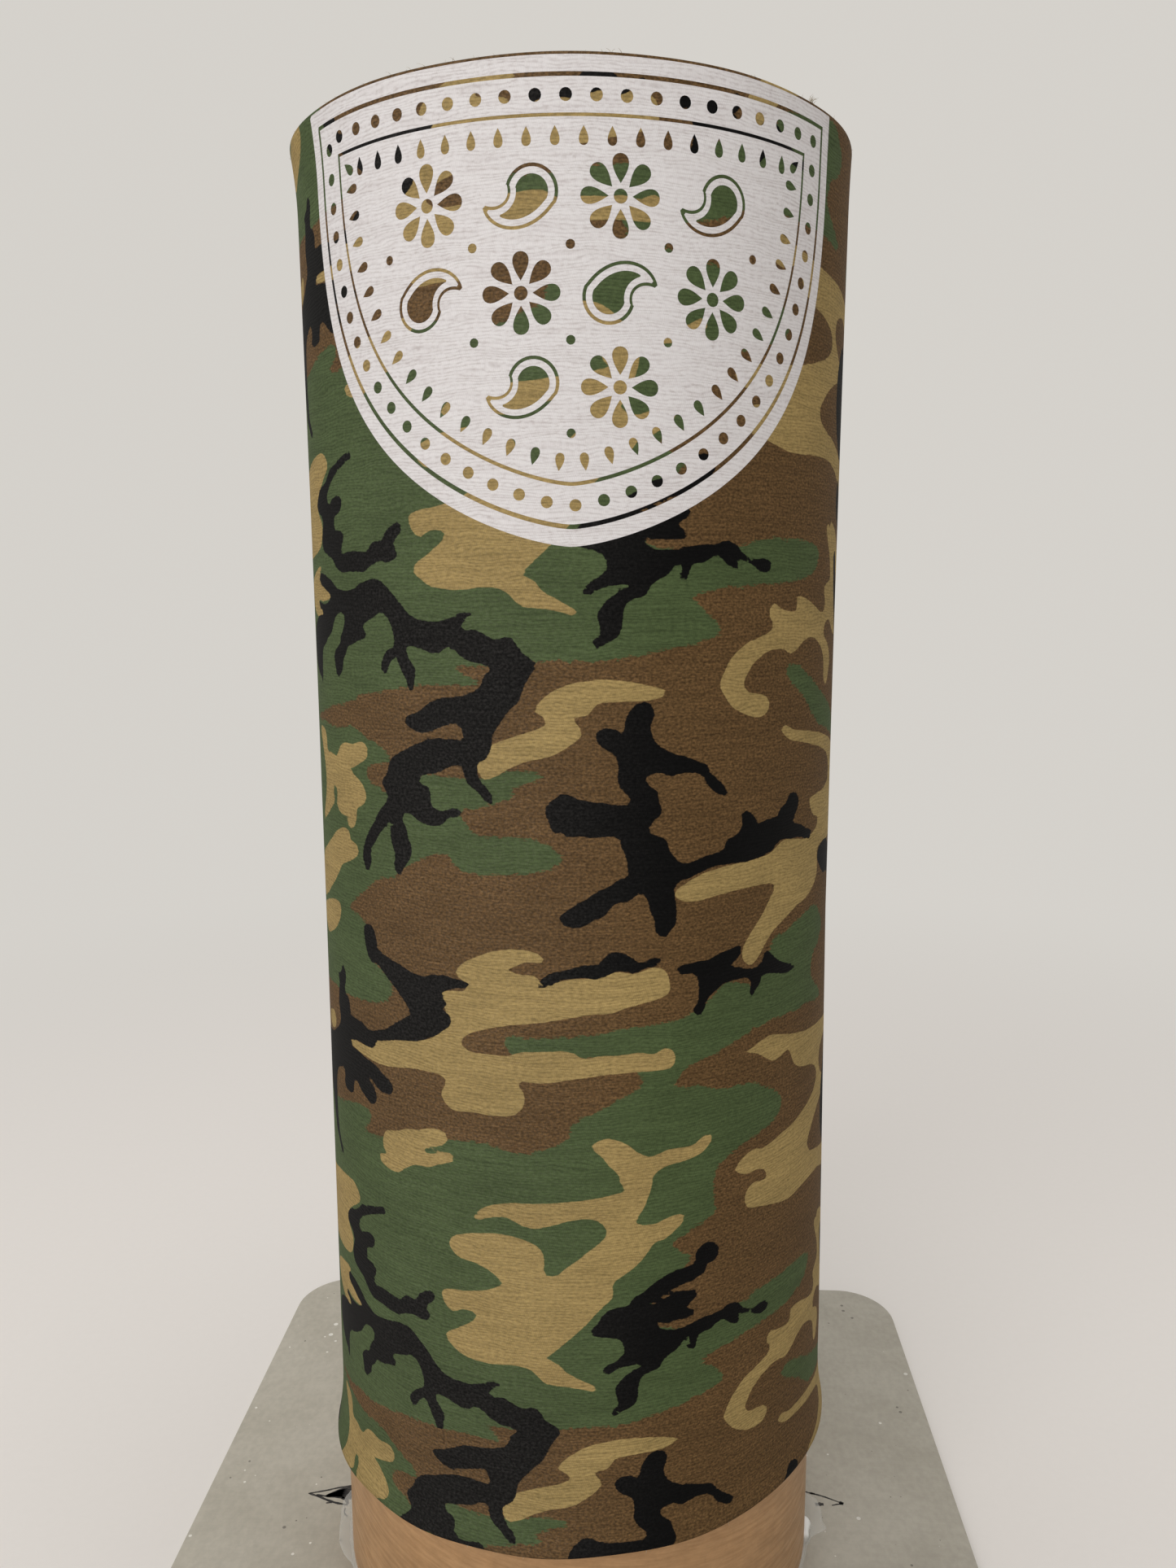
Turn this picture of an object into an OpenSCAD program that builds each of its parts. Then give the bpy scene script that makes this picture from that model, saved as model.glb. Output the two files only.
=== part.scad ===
// Knitted neck gaiter on its display stand: a stretchy fabric tube pulled over a paperboard
// form, which is glued upright on a square sheet-metal base.
// Millimetres, +Z up. The origin is the middle of the base plate's underside, and -Y is the front.

/* [Base plate] */
// Side of the square base plate
plate_side = 305; // [240:1:420]
// Thickness of the sheet metal
plate_thickness = 3; // [1:0.5:8]
// Radius of the plate's four rounded corners
plate_corner_radius = 25; // [5:1:60]

/* [Form tube] */
// Outside diameter of the paperboard tube
tube_diameter = 180; // [140:1:225]
// Thickness of the tube's wall
tube_wall = 4; // [2:0.5:10]
// Height of the tube above the plate
tube_height = 500; // [460:1:700]

/* [Glue beads] */
// Size of a bead's round section, out from the tube and up from the plate
bead_radius = 4; // [2:0.5:8]
// Angle of the tube's foot that one bead runs along, without its round ends
bead_arc = 70; // [20:1:120]

/* [Gaiter] */
// Length of the gaiter from hem to hem, stretched over the tube
gaiter_length = 446; // [300:1:480]
// Thickness of the knitted fabric
fabric_thickness = 0.7; // [0.4:0.1:2]
// Slack between the fabric and the tube
fabric_slack = 0.3; // [0.2:0.1:1]
// Height of the top hem above the tube's rim
rim_cover = 3.5; // [0:0.5:15]
// Length of fabric that curls outwards at each hem
hem_curl = 18; // [8:1:30]
// How far the top hem stands out from the straight wall
top_flare = 1.8; // [0.5:0.1:6]
// How far the bottom hem stands out from the straight wall
bottom_flare = 3.2; // [0.5:0.1:6]

/* [Hidden] */
$fn = 128;

tube_radius = tube_diameter / 2;
tube_top = plate_thickness + tube_height;
gaiter_inner_radius = tube_radius + fabric_slack;
gaiter_top = tube_top + rim_cover;
gaiter_bottom = gaiter_top - gaiter_length;
// A cut runs this far past the faces that it opens
cut_margin = 1;
// The beads run along the two sides of the tube's foot: this is the middle of the left one
left_side = 180;

// A square with round corners, centred on the axis
module rounded_square(side, corner_radius) {
    straight = side - 2 * corner_radius;
    square([side, straight], center = true);
    square([straight, side], center = true);
    for (x = [-1, 1], y = [-1, 1])
        translate([x, y] * straight / 2)
            circle(corner_radius);
}

// Half section of one hem, from y = 0 upwards: an arc of fabric that leaves the straight wall
// along its tangent and ends flare further out
module hem_section(flare) {
    curl_radius = (hem_curl * hem_curl + flare * flare) / (2 * flare);
    intersection() {
        translate([gaiter_inner_radius + curl_radius, 0])
            difference() {
                circle(curl_radius);
                circle(curl_radius - fabric_thickness);
            }
        translate([gaiter_inner_radius, 0])
            square([curl_radius, hem_curl]);
    }
}

// Half section of the gaiter: a straight wall between two curled hems
module gaiter_section() {
    translate([gaiter_inner_radius, gaiter_bottom + hem_curl])
        square([fabric_thickness, gaiter_length - 2 * hem_curl]);
    translate([0, gaiter_top - hem_curl])
        hem_section(top_flare);
    translate([0, gaiter_bottom + hem_curl])
        mirror([0, 1])
            hem_section(bottom_flare);
}

// The left bead: a quarter round along the corner of tube and plate, with round ends
module glue_bead() {
    translate([0, 0, plate_thickness])
        difference() {
            union() {
                rotate(left_side - bead_arc / 2)
                    rotate_extrude(angle = bead_arc)
                        translate([tube_radius, 0])
                            intersection() {
                                circle(bead_radius);
                                square(bead_radius);
                            }
                for (end_angle = [-1, 1] * bead_arc / 2)
                    rotate(left_side + end_angle)
                        translate([tube_radius, 0, 0])
                            intersection() {
                                sphere(bead_radius);
                                translate([-1, -1, 0] * bead_radius)
                                    cube([2, 2, 1] * bead_radius);
                            }
            }
            translate([0, 0, -cut_margin])
                cylinder(r = tube_radius, h = bead_radius + 2 * cut_margin);
        }
}

module base_plate() {
    color([0.66, 0.65, 0.62])
        linear_extrude(plate_thickness)
            rounded_square(plate_side, plate_corner_radius);
}

module form_tube() {
    color([0.64, 0.47, 0.34])
        translate([0, 0, plate_thickness])
            difference() {
                cylinder(r = tube_radius, h = tube_height);
                translate([0, 0, -cut_margin])
                    cylinder(r = tube_radius - tube_wall, h = tube_height + 2 * cut_margin);
            }
}

module glue_bead_left() {
    color([0.92, 0.92, 0.9, 0.6])
        glue_bead();
}

module glue_bead_right() {
    color([0.92, 0.92, 0.9, 0.6])
        mirror([1, 0, 0])
            glue_bead();
}

module gaiter() {
    color([0.36, 0.3, 0.2])
        rotate_extrude()
            gaiter_section();
}

base_plate();
form_tube();
glue_bead_left();
glue_bead_right();
gaiter();
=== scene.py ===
"""Knitted neck gaiter on its display stand: the looks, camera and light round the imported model.

Everything is in metres in the model's own frame, +Z up and -Y to the front. Fabric places are in
millimetres: around, from the front to the right, and down, from the top hem.
"""

import logging
import math
from dataclasses import dataclass, field
from enum import Enum
from functools import reduce
from typing import Iterable, Sequence

import bpy
import numpy as np
from mathutils import Matrix, Vector
from mathutils.geometry import delaunay_2d_cdt


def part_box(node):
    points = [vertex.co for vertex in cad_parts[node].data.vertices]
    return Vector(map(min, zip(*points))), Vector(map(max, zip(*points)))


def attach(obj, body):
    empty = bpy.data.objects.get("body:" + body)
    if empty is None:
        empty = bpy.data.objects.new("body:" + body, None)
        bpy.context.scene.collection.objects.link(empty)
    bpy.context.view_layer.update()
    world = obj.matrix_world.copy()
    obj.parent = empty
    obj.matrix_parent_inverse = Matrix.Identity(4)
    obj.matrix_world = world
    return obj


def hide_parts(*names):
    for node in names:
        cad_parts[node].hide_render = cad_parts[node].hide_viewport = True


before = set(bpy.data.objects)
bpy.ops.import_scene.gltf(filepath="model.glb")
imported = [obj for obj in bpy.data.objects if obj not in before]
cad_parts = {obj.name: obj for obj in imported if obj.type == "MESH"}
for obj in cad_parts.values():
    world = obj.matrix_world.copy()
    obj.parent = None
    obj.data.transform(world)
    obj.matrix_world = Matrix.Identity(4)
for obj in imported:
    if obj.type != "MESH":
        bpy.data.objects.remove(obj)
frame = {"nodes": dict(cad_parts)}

LOG = logging.getLogger("gaiter")
MM = 0.001
# The fabric's front faces the camera, which stands this far round to the right of the plate's front
FRONT_TURN = math.radians(2.712)

# The least squared length that a segment is divided by
SHORTEST = 1e-9

Point = tuple[float, float]
Pair = tuple[float, float]
Place = tuple[float, float, float]
Dab = tuple[float, float, float]
Colour = tuple[float, float, float]
Array = np.ndarray
Piece = bpy.types.Object
Socket = bpy.types.NodeSocket


class Body(Enum):
    """The two bodies of the model that pieces ride on."""

    STAND = "stand"
    GAITER = "gaiter"


class Side(Enum):
    """A side of the stand as its front is seen, with its direction along X."""

    LEFT = -1
    RIGHT = 1


class Layer(Enum):
    """Printed camouflage colours, in the order they lie on the brown ground."""

    GREEN = "green"
    TAN = "tan"
    BLACK = "black"


def smooth_path(points: Array, closed: bool, steps: int = 5) -> Array:
    """Run a smooth curve through points.

    Args:
        points: One row per point; each column is smoothed alike.
        closed: Whether the curve returns to its first point.
        steps: Pieces between two neighbouring points.

    Returns:
        The points of the curve, one row each.
    """
    if closed:
        padded = np.vstack([points[-1:], points, points[:2]])
    else:
        padded = np.vstack([2 * points[:1] - points[1:2], points, 2 * points[-1:] - points[-2:-1]])
    t = (np.arange(steps) / steps)[:, None]
    spans = []
    for a, b, c, d in zip(padded, padded[1:], padded[2:], padded[3:]):
        spans.append(b + t / 2 * (c - a + t * (2 * a - 5 * b + 4 * c - d + t * (3 * (b - c) + d - a))))
    if not closed:
        spans.append(points[-1:])
    return np.vstack(spans)


def inside(outline: Array, places: Array) -> Array:
    """Tell which places lie inside a closed outline.

    Args:
        outline: Corner points of the outline, one row each.
        places: Points to test, one row each.

    Returns:
        One truth value per place.
    """
    result = np.zeros(len(places), dtype=bool)
    x, y = places.T
    for (ax, ay), (bx, by) in zip(outline, np.roll(outline, -1, axis=0)):
        if ay != by:
            crosses = (ay > y) != (by > y)
            result ^= crosses & (x < ax + (y - ay) * (bx - ax) / (by - ay))
    return result


def from_segment(places: Array, start: Array, end: Array) -> tuple[Array, Array]:
    """Measure how far places lie from a straight segment.

    Args:
        places: Points to measure from, one row each.
        start: One end of the segment.
        end: Its other end.

    Returns:
        Each place's distance, and the share of the segment at which it is nearest.
    """
    along = end - start
    share = np.clip((places - start) @ along / max(along @ along, SHORTEST), 0.0, 1.0)
    gap = places - start - share[:, None] * along
    return np.hypot(gap[:, 0], gap[:, 1]), share


def swept_faces(first: int, rings: int, ring: int) -> list[tuple[int, ...]]:
    """List the faces of a closed rod: quads between its rings of points and a cap on each end.

    Args:
        first: Number of the first ring's first point.
        rings: How many rings it has.
        ring: Points in one ring.

    Returns:
        Point numbers of each face.
    """
    faces = []
    for j in range(rings - 1):
        for k in range(ring):
            a, b = first + j * ring + k, first + j * ring + (k + 1) % ring
            faces.append((a, b, b + ring, a + ring))
    start, end = range(first, first + ring), range(first + (rings - 1) * ring, first + rings * ring)
    return [*faces, tuple(start)[::-1], tuple(end)]


def new_object(name: str, places: Array, faces: Iterable[Sequence[int]], smooth: bool = True) -> Piece:
    """Make a mesh object from points in metres.

    Args:
        name: The piece's name.
        places: One row of coordinates per vertex.
        faces: Vertex numbers of each face.
        smooth: Whether its faces are shaded smoothly.

    Returns:
        The new object, linked to the scene.
    """
    mesh = bpy.data.meshes.new(name)
    mesh.from_pydata(np.asarray(places).tolist(), [], list(faces))
    mesh.validate()
    mesh.polygons.foreach_set("use_smooth", [smooth] * len(mesh.polygons))
    piece = bpy.data.objects.new(name, mesh)
    bpy.context.scene.collection.objects.link(piece)
    return piece


def add_values(piece: Piece, name: str, values: Array) -> None:
    """Give each of a piece's vertices a number that its finish reads by name."""
    attribute = piece.data.attributes.new(name, "FLOAT", "POINT")
    attribute.data.foreach_set("value", values.astype(np.float32))


def dress(piece: Piece, material: bpy.types.Material) -> None:
    """Give every material slot of a piece one material.

    Args:
        piece: The piece to dress.
        material: Its material.
    """
    if not piece.data.materials:
        piece.data.materials.append(material)
    for slot in piece.material_slots:
        slot.material = material


def report(piece: Piece, words: str) -> None:
    """Log a finished piece with its number of faces."""
    LOG.info("%s: %s, %d faces", piece.name, words, len(piece.data.polygons))


@dataclass(frozen=True)
class Ripple:
    """A wave that is laid over a shape."""

    height: float  # Its height
    rate: float  # How fast it swings, in radians for each unit of the angle
    start: float = 0.0  # Where in its swing it starts, in radians

    def at(self, angle: Array) -> Array:
        """Height of the wave at angles."""
        return self.height * np.sin(self.rate * angle + self.start)


class Nodes:
    """A node tree, with a short call for what finishes and background share."""

    def __init__(self, tree: bpy.types.NodeTree) -> None:
        """Take the tree."""
        self.tree = tree

    def node(self, kind: str, inputs: dict[str | int, object], **settings: object) -> bpy.types.Node:
        """Add a node.

        Args:
            kind: Its type, without the leading ShaderNode.
            inputs: Sockets or constants by input name or number.
            **settings: The node's own properties.

        Returns:
            The new node.
        """
        node = self.tree.nodes.new("ShaderNode" + kind)
        for key, value in settings.items():
            setattr(node, key, value)
        for key, value in inputs.items():
            if isinstance(value, Socket):
                self.tree.links.new(value, node.inputs[key])
            else:
                node.inputs[key].default_value = value
        return node

    def math(self, operation: str, *values: object) -> Socket:
        """Calculate one number from others."""
        return self.node("Math", dict(enumerate(values)), operation=operation).outputs[0]

    def product(self, *factors: object) -> Socket:
        """Multiply numbers."""
        return reduce(lambda total, factor: self.math("MULTIPLY", total, factor), factors)

    def seen(self) -> Socket:
        """1 for what the camera sees, also in reflections and through glass, and 0 for other light."""
        rays = self.node("LightPath", {}).outputs
        in_reflections = self.math("MAXIMUM", rays["Is Glossy Ray"], rays["Is Transmission Ray"])
        return self.math("MAXIMUM", rays["Is Camera Ray"], in_reflections)

    def show(self, lit: Socket, shown: Socket, share: Socket, output: str) -> None:
        """Mix two shaders by a share of the second one, and show that at an output."""
        mixed = self.node("MixShader", {0: share, 1: lit, 2: shown}).outputs[0]
        self.tree.links.new(mixed, self.tree.nodes[output].inputs["Surface"])


class FinishNodes(Nodes):
    """The node tree of one finish, with a short call for each kind of node."""

    def __init__(self, name: str, **constants: float | Colour) -> None:
        """Start a material whose shader has these constant sockets.

        Args:
            name: The material's name.
            **constants: Values of the shader's sockets, with _ for a space.
        """
        self.material = bpy.data.materials.new(name)
        self.material.use_nodes = True
        super().__init__(self.material.node_tree)
        self.shader = self.tree.nodes["Principled BSDF"]
        for socket, value in constants.items():
            target = self.shader.inputs[socket.replace("_", " ")]
            target.default_value = (*value, 1.0) if isinstance(value, tuple) else value

    def link(self, socket: Socket, target: str) -> None:
        """Drive one of the shader's sockets."""
        self.tree.links.new(socket, self.shader.inputs[target])

    def noise(self, vector: object, scale: float, detail: float = 2.0, rough: float = 0.5) -> Socket:
        """Smooth random values from 0 to 1 at a vector."""
        inputs = {"Vector": vector, "Scale": scale, "Detail": detail, "Roughness": rough}
        return self.node("TexNoise", inputs).outputs["Fac"]

    def ramp(self, value: object, low: float, high: float, start: float = 0.0, end: float = 1.0) -> Socket:
        """Ease from start to end while value goes from low to high."""
        inputs = {"Value": value, "From Min": low, "From Max": high, "To Min": start, "To Max": end}
        return self.node("MapRange", inputs, interpolation_type="SMOOTHSTEP").outputs["Result"]

    def mix(self, share: object, first: object, second: object) -> Socket:
        """Mix two colours, with this share of the second one."""
        first, second = (c if isinstance(c, Socket) else (*c, 1.0) for c in (first, second))
        return self.node("Mix", {0: share, 6: first, 7: second}, data_type="RGBA").outputs[2]

    def shade(self, colour: object, value: object) -> Socket:
        """Darken or lighten a colour by a factor."""
        return self.node("HueSaturation", {"Color": colour, "Value": value}).outputs["Color"]

    def stretched(self, vector: object, scale: Place) -> Socket:
        """Scale a vector by axis."""
        return self.node("VectorMath", {0: vector, 1: scale}, operation="MULTIPLY").outputs[0]

    def streaky(self, vector: object, scale: Place, detail: float = 2.0, rough: float = 0.5) -> Socket:
        """Smooth random values from 0 to 1 at a vector, with a scale for each axis."""
        return self.noise(self.stretched(vector, scale), 1.0, detail, rough)

    def carried(self, name: str) -> Socket:
        """The number of that name that each vertex carries."""
        return self.node("Attribute", {}, attribute_name=name).outputs["Fac"]

    def fabric(self) -> Socket:
        """The fabric's own place in millimetres, around and down."""
        return self.node("UVMap", {}, uv_map="fabric").outputs["UV"]

    def place(self) -> Socket:
        """The place on the object in metres."""
        return self.node("TexCoord", {}).outputs["Object"]

    def parts(self, vector: object) -> tuple[Socket, ...]:
        """Split a vector into its three numbers."""
        return tuple(self.node("SeparateXYZ", {0: vector}).outputs)

    def bump(self, height: object, depth: float, strength: float) -> None:
        """Raise the surface by height times depth, in metres."""
        node = self.node("Bump", {"Height": height, "Distance": depth, "Strength": strength})
        self.link(node.outputs["Normal"], "Normal")


@dataclass(frozen=True)
class Knit:
    """Rows of stitches with broken dark gaps between them, shared by the printed and the white fabric."""

    course: float = 1.02  # Height of one row of stitches, in millimetres
    wale: float = 0.62  # Width of one stitch
    dash: float = 1.7  # Length of the dashes that the dark gaps break into
    wander: float = 5.0  # How many rows a row wanders up and down
    row_jump: float = 5.31  # How far the random pattern of the dashes jumps from row to row

    def stitches(self, nodes: FinishNodes, fabric: object) -> tuple[Socket, Socket]:
        """Draw the height of the stitches and the darkness of the gaps, both from 0 to 1.

        Args:
            nodes: The finish that they are part of.
            fabric: Its fabric coordinates.

        Returns:
            The sockets of the height and the darkness.
        """
        wander = nodes.streaky(fabric, (0.05, 0.16, 1.0), 2.0)
        around, down, _ = nodes.parts(fabric)
        lift = nodes.product(wander, self.wander)
        level = nodes.math("MULTIPLY_ADD", down, 1 / self.course, lift)
        row = nodes.math("FLOOR", level)
        from_middle = nodes.math("ABSOLUTE", nodes.math("SUBTRACT", nodes.math("FRACT", level), 0.5))
        gap = nodes.ramp(from_middle, 0.12, 0.5)
        along = nodes.product(around, 1 / self.dash)
        jump = nodes.product(row, self.row_jump)
        spot = nodes.node("CombineXYZ", {0: along, 1: jump}).outputs[0]
        dark = nodes.product(gap, nodes.ramp(nodes.noise(spot, 1.0, 1.0), 0.38, 0.62))
        half_stitch = nodes.product(row, math.pi)
        turn = nodes.math("MULTIPLY_ADD", around, 2 * math.pi / self.wale, half_stitch)
        loops = nodes.math("MULTIPLY_ADD", nodes.math("SINE", turn), 0.3, 0.7)
        return nodes.product(nodes.math("SUBTRACT", 1.0, gap), loops), dark


@dataclass(frozen=True)
class Dye:
    """One printed colour of the camouflage."""

    layer: Layer
    colour: Colour
    knobs: float  # How far its edge wanders in knobs, in millimetres
    ragged: float  # How far its edge is torn at the size of the stitches


@dataclass(frozen=True)
class CamoKnit:
    """Matt jersey printed with woodland camouflage."""

    ground: Colour = (0.105, 0.0602, 0.0246)  # Colour of the ground that the layers lie on
    # The printed layers, lowest first
    dyes: tuple[Dye, ...] = (
        Dye(Layer.GREEN, (0.0620, 0.0885, 0.0355), knobs=0.7, ragged=2.0),
        Dye(Layer.TAN, (0.305, 0.219, 0.0855), knobs=0.2, ragged=0.25),
        Dye(Layer.BLACK, (0.0022, 0.0022, 0.0023), knobs=0.35, ragged=0.5),
    )
    edge: float = 0.16  # Half the width over which a printed edge fades
    fuzz_and_sheen: Colour = (0.20, 0.19, 0.18)  # Colour of the undyed fibres that stand out of the knit, which also paints a band of sheen
    sheen_side: float = -38.0  # Middle of the band of painted sheen, where these fibres are laid on most, in millimetres from the front
    undyed: Colour = (0.56, 0.53, 0.47)  # Colour of the fabric's unprinted inside
    show_through: float = 0.25  # How much of the print shows on the inside
    knit: Knit = Knit()

    def material(self) -> bpy.types.Material:
        """Build the finish.

        Returns:
            Its material.
        """
        nodes = FinishNodes(
            "camo_knit", Roughness=0.7, Specular_IOR_Level=0.05, Sheen_Weight=0.01, Sheen_Roughness=0.5
        )
        fabric = nodes.fabric()
        height, dark = self.knit.stitches(nodes, fabric)
        knobs = nodes.math("SUBTRACT", nodes.noise(fabric, 0.19, 2.0, 0.4), 0.5)
        torn = nodes.math("SUBTRACT", nodes.streaky(fabric, (0.45, 1.2, 1.0), 3.0, 0.65), 0.5)
        flecks = nodes.streaky(fabric, (1.1, 1.4, 1.0), 1.0)
        colour = nodes.shade((*self.ground, 1.0), nodes.ramp(flecks, 0.25, 0.75, 0.62, 1.38))
        for dye in self.dyes:
            distance = nodes.carried(dye.layer.value)
            moved = nodes.math("MULTIPLY_ADD", knobs, 3 * dye.knobs, distance)
            moved = nodes.math("MULTIPLY_ADD", torn, 2 * dye.ragged, moved)
            colour = nodes.mix(nodes.ramp(moved, self.edge, -self.edge), colour, dye.colour)
        cloudy = nodes.streaky(fabric, (0.03, 0.06, 1.0), 3.0)
        grain = nodes.streaky(fabric, (0.7, 1.3, 1.0), 2.0, 0.6)
        streaks = nodes.streaky(fabric, (0.06, 0.5, 1.0), 2.0, 0.5)
        # Pale fibres laid over the print: a little everywhere as real fuzz, and thickly in a band left of
        # the front as painted sheen
        fuzz_and_sheen = nodes.noise(nodes.stretched(fabric, (0.9, 1.0, 1.0)), 1.2, 2.0, 0.6)
        away = nodes.math("ABSOLUTE", nodes.math("SUBTRACT", nodes.parts(fabric)[0], self.sheen_side))
        near_sheen = nodes.ramp(away, 12.0, 75.0, 1.0, 0.1)
        pale = nodes.product(nodes.ramp(fuzz_and_sheen, 0.3, 0.8, 0.02, 0.115), near_sheen)
        colour = nodes.mix(pale, colour, self.fuzz_and_sheen)
        printed = nodes.carried("printed")
        colour = nodes.mix(nodes.ramp(printed, 0.3, 0.7, self.show_through, 1.0), self.undyed, colour)
        value = nodes.product(
            nodes.ramp(dark, 0.0, 1.0, 1.06, 0.85),
            nodes.ramp(height, 0.0, 1.0, 0.94, 1.06),
            nodes.ramp(grain, 0.25, 0.75, 0.8, 1.2),
            nodes.ramp(streaks, 0.3, 0.7, 0.92, 1.08),
            nodes.ramp(cloudy, 0.3, 0.7, 0.94, 1.06),
        )
        nodes.link(nodes.shade(colour, value), "Base Color")
        nodes.bump(nodes.math("MULTIPLY_ADD", grain, 0.5, height), 0.12 * MM, 0.6)
        return nodes.material


@dataclass(frozen=True)
class WhiteKnit:
    """White front panel, with the darker gaps of the knit showing through."""

    white: Colour = (0.712, 0.690, 0.696)  # Colour of the white
    thread: Colour = (0.36, 0.30, 0.29)  # Colour of the gaps that show through
    knit: Knit = Knit()

    def material(self) -> bpy.types.Material:
        """Build the finish.

        Returns:
            Its material.
        """
        nodes = FinishNodes(
            "white_print", Roughness=0.88, Specular_IOR_Level=0.15, Sheen_Weight=0.03, Sheen_Roughness=0.5
        )
        fabric = nodes.fabric()
        height, dark = self.knit.stitches(nodes, fabric)
        cloudy = nodes.streaky(fabric, (0.03, 0.05, 1.0), 2.0)
        grain = nodes.streaky(fabric, (0.6, 1.0, 1.0), 2.0, 0.6)
        streaks = nodes.streaky(fabric, (0.06, 0.5, 1.0), 2.0, 0.5)
        shown = nodes.math("MULTIPLY_ADD", dark, 0.32, nodes.ramp(grain, 0.45, 0.75, 0.0, 0.24))
        shown = nodes.math("ADD", shown, nodes.ramp(streaks, 0.42, 0.68, 0.0, 0.14))
        shown = nodes.product(shown, nodes.ramp(cloudy, 0.3, 0.7, 0.75, 1.0))
        colour = nodes.mix(shown, self.white, self.thread)
        nodes.link(nodes.shade(colour, nodes.ramp(height, 0.0, 1.0, 0.97, 1.03)), "Base Color")
        nodes.bump(nodes.math("SUBTRACT", height, shown), 0.1 * MM, 0.5)
        return nodes.material


@dataclass(frozen=True)
class KraftBoard:
    """Satin brown kraft paper, wound round the tube with fine streaks."""

    light: Colour = (0.447, 0.264, 0.129)  # Colour of the paper's light fibres
    dark: Colour = (0.345, 0.195, 0.090)  # Colour of its dark fibres
    climb: float = 0.012  # How far the streaks climb in one radian, in metres

    def material(self) -> bpy.types.Material:
        """Build the finish.

        Returns:
            Its material.
        """
        nodes = FinishNodes("kraft_board", Specular_IOR_Level=0.3)
        x, y, z = nodes.parts(nodes.place())
        angle = nodes.math("ARCTAN2", x, nodes.product(y, -1.0))
        level = nodes.math("MULTIPLY_ADD", angle, self.climb, z)
        wound = nodes.node("CombineXYZ", {0: angle, 1: level}).outputs[0]
        wound = nodes.stretched(wound, (6.0, 700.0, 1.0))
        streaks = nodes.noise(wound, 1.0, 4.0, 0.6)
        broad = nodes.streaky(wound, (0.3, 0.08, 1.0), 2.0)
        fibres = nodes.streaky(nodes.place(), (900.0, 900.0, 2600.0), 2.0)
        mottle = nodes.streaky(wound, (2.5, 0.25, 1.0), 3.0, 0.7)
        colour = nodes.mix(nodes.ramp(streaks, 0.25, 0.75), self.dark, self.light)
        value = nodes.product(
            nodes.ramp(broad, 0.3, 0.7, 0.94, 1.06),
            nodes.ramp(fibres, 0.2, 0.8, 0.96, 1.04),
            nodes.ramp(mottle, 0.3, 0.75, 0.94, 1.1),
        )
        nodes.link(nodes.shade(colour, value), "Base Color")
        nodes.link(nodes.ramp(streaks, 0.3, 0.7, 0.5, 0.36), "Roughness")
        nodes.bump(nodes.math("MULTIPLY_ADD", fibres, 0.5, streaks), 0.08 * MM, 0.35)
        return nodes.material


@dataclass(frozen=True)
class SheetMetal:
    """Dull mill-finish aluminium with specks, smears and fine scratches, and painted shade that makes it
    lighter at the left and darker at the right.
    """

    clean: Colour = (0.455, 0.427, 0.365)  # Colour of the clean metal
    dull: Colour = (0.405, 0.378, 0.318)  # Colour of the dull patches
    speck: Colour = (0.12, 0.11, 0.095)  # Colour of the dirt specks
    bright: Colour = (0.75, 0.73, 0.68)  # Colour of the scratches and pale specks

    def material(self) -> bpy.types.Material:
        """Build the finish.

        Returns:
            Its material.
        """
        nodes = FinishNodes("plate_metal", Metallic=0.35)
        place = nodes.place()
        smear = nodes.streaky(place, (14.0, 20.0, 14.0), 5.0, 0.65)
        mottle = nodes.streaky(place, (420.0, 300.0, 420.0), 3.0, 0.6)
        brushed = nodes.streaky(place, (60.0, 2200.0, 60.0), 2.0)
        scratch = nodes.streaky(place, (7.0, 420.0, 7.0), 3.0, 0.7)
        colour = nodes.mix(nodes.ramp(smear, 0.35, 0.65), self.dull, self.clean)
        colour = nodes.mix(nodes.ramp(scratch, 0.74, 0.8, 0.0, 0.25), colour, self.bright)
        for speck, scale, share in ((self.speck, 170.0, 0.75), (self.bright, 130.0, 0.85)):
            spots = nodes.node("TexVoronoi", {"Vector": place, "Scale": scale}).outputs["Distance"]
            size = nodes.ramp(nodes.noise(place, scale / 4, 1.0), 0.45, 0.75, 0.02, 0.17)
            specks = nodes.math("LESS_THAN", spots, size)
            colour = nodes.mix(nodes.product(specks, share), colour, speck)
        value = nodes.product(
            nodes.ramp(brushed, 0.25, 0.75, 0.985, 1.015),
            nodes.ramp(mottle, 0.25, 0.75, 0.94, 1.06),
            # Painted light and shade: the colour is lighter at the left and darker at the right
            nodes.ramp(nodes.parts(place)[0], -0.14, 0.14, 1.09, 0.88),
        )
        nodes.link(nodes.shade(colour, value), "Base Color")
        nodes.link(nodes.ramp(smear, 0.3, 0.7, 0.58, 0.46), "Roughness")
        height = nodes.math("MULTIPLY_ADD", nodes.ramp(scratch, 0.7, 0.78), -1.0, brushed)
        nodes.bump(height, 0.03 * MM, 0.3)
        return nodes.material


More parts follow.
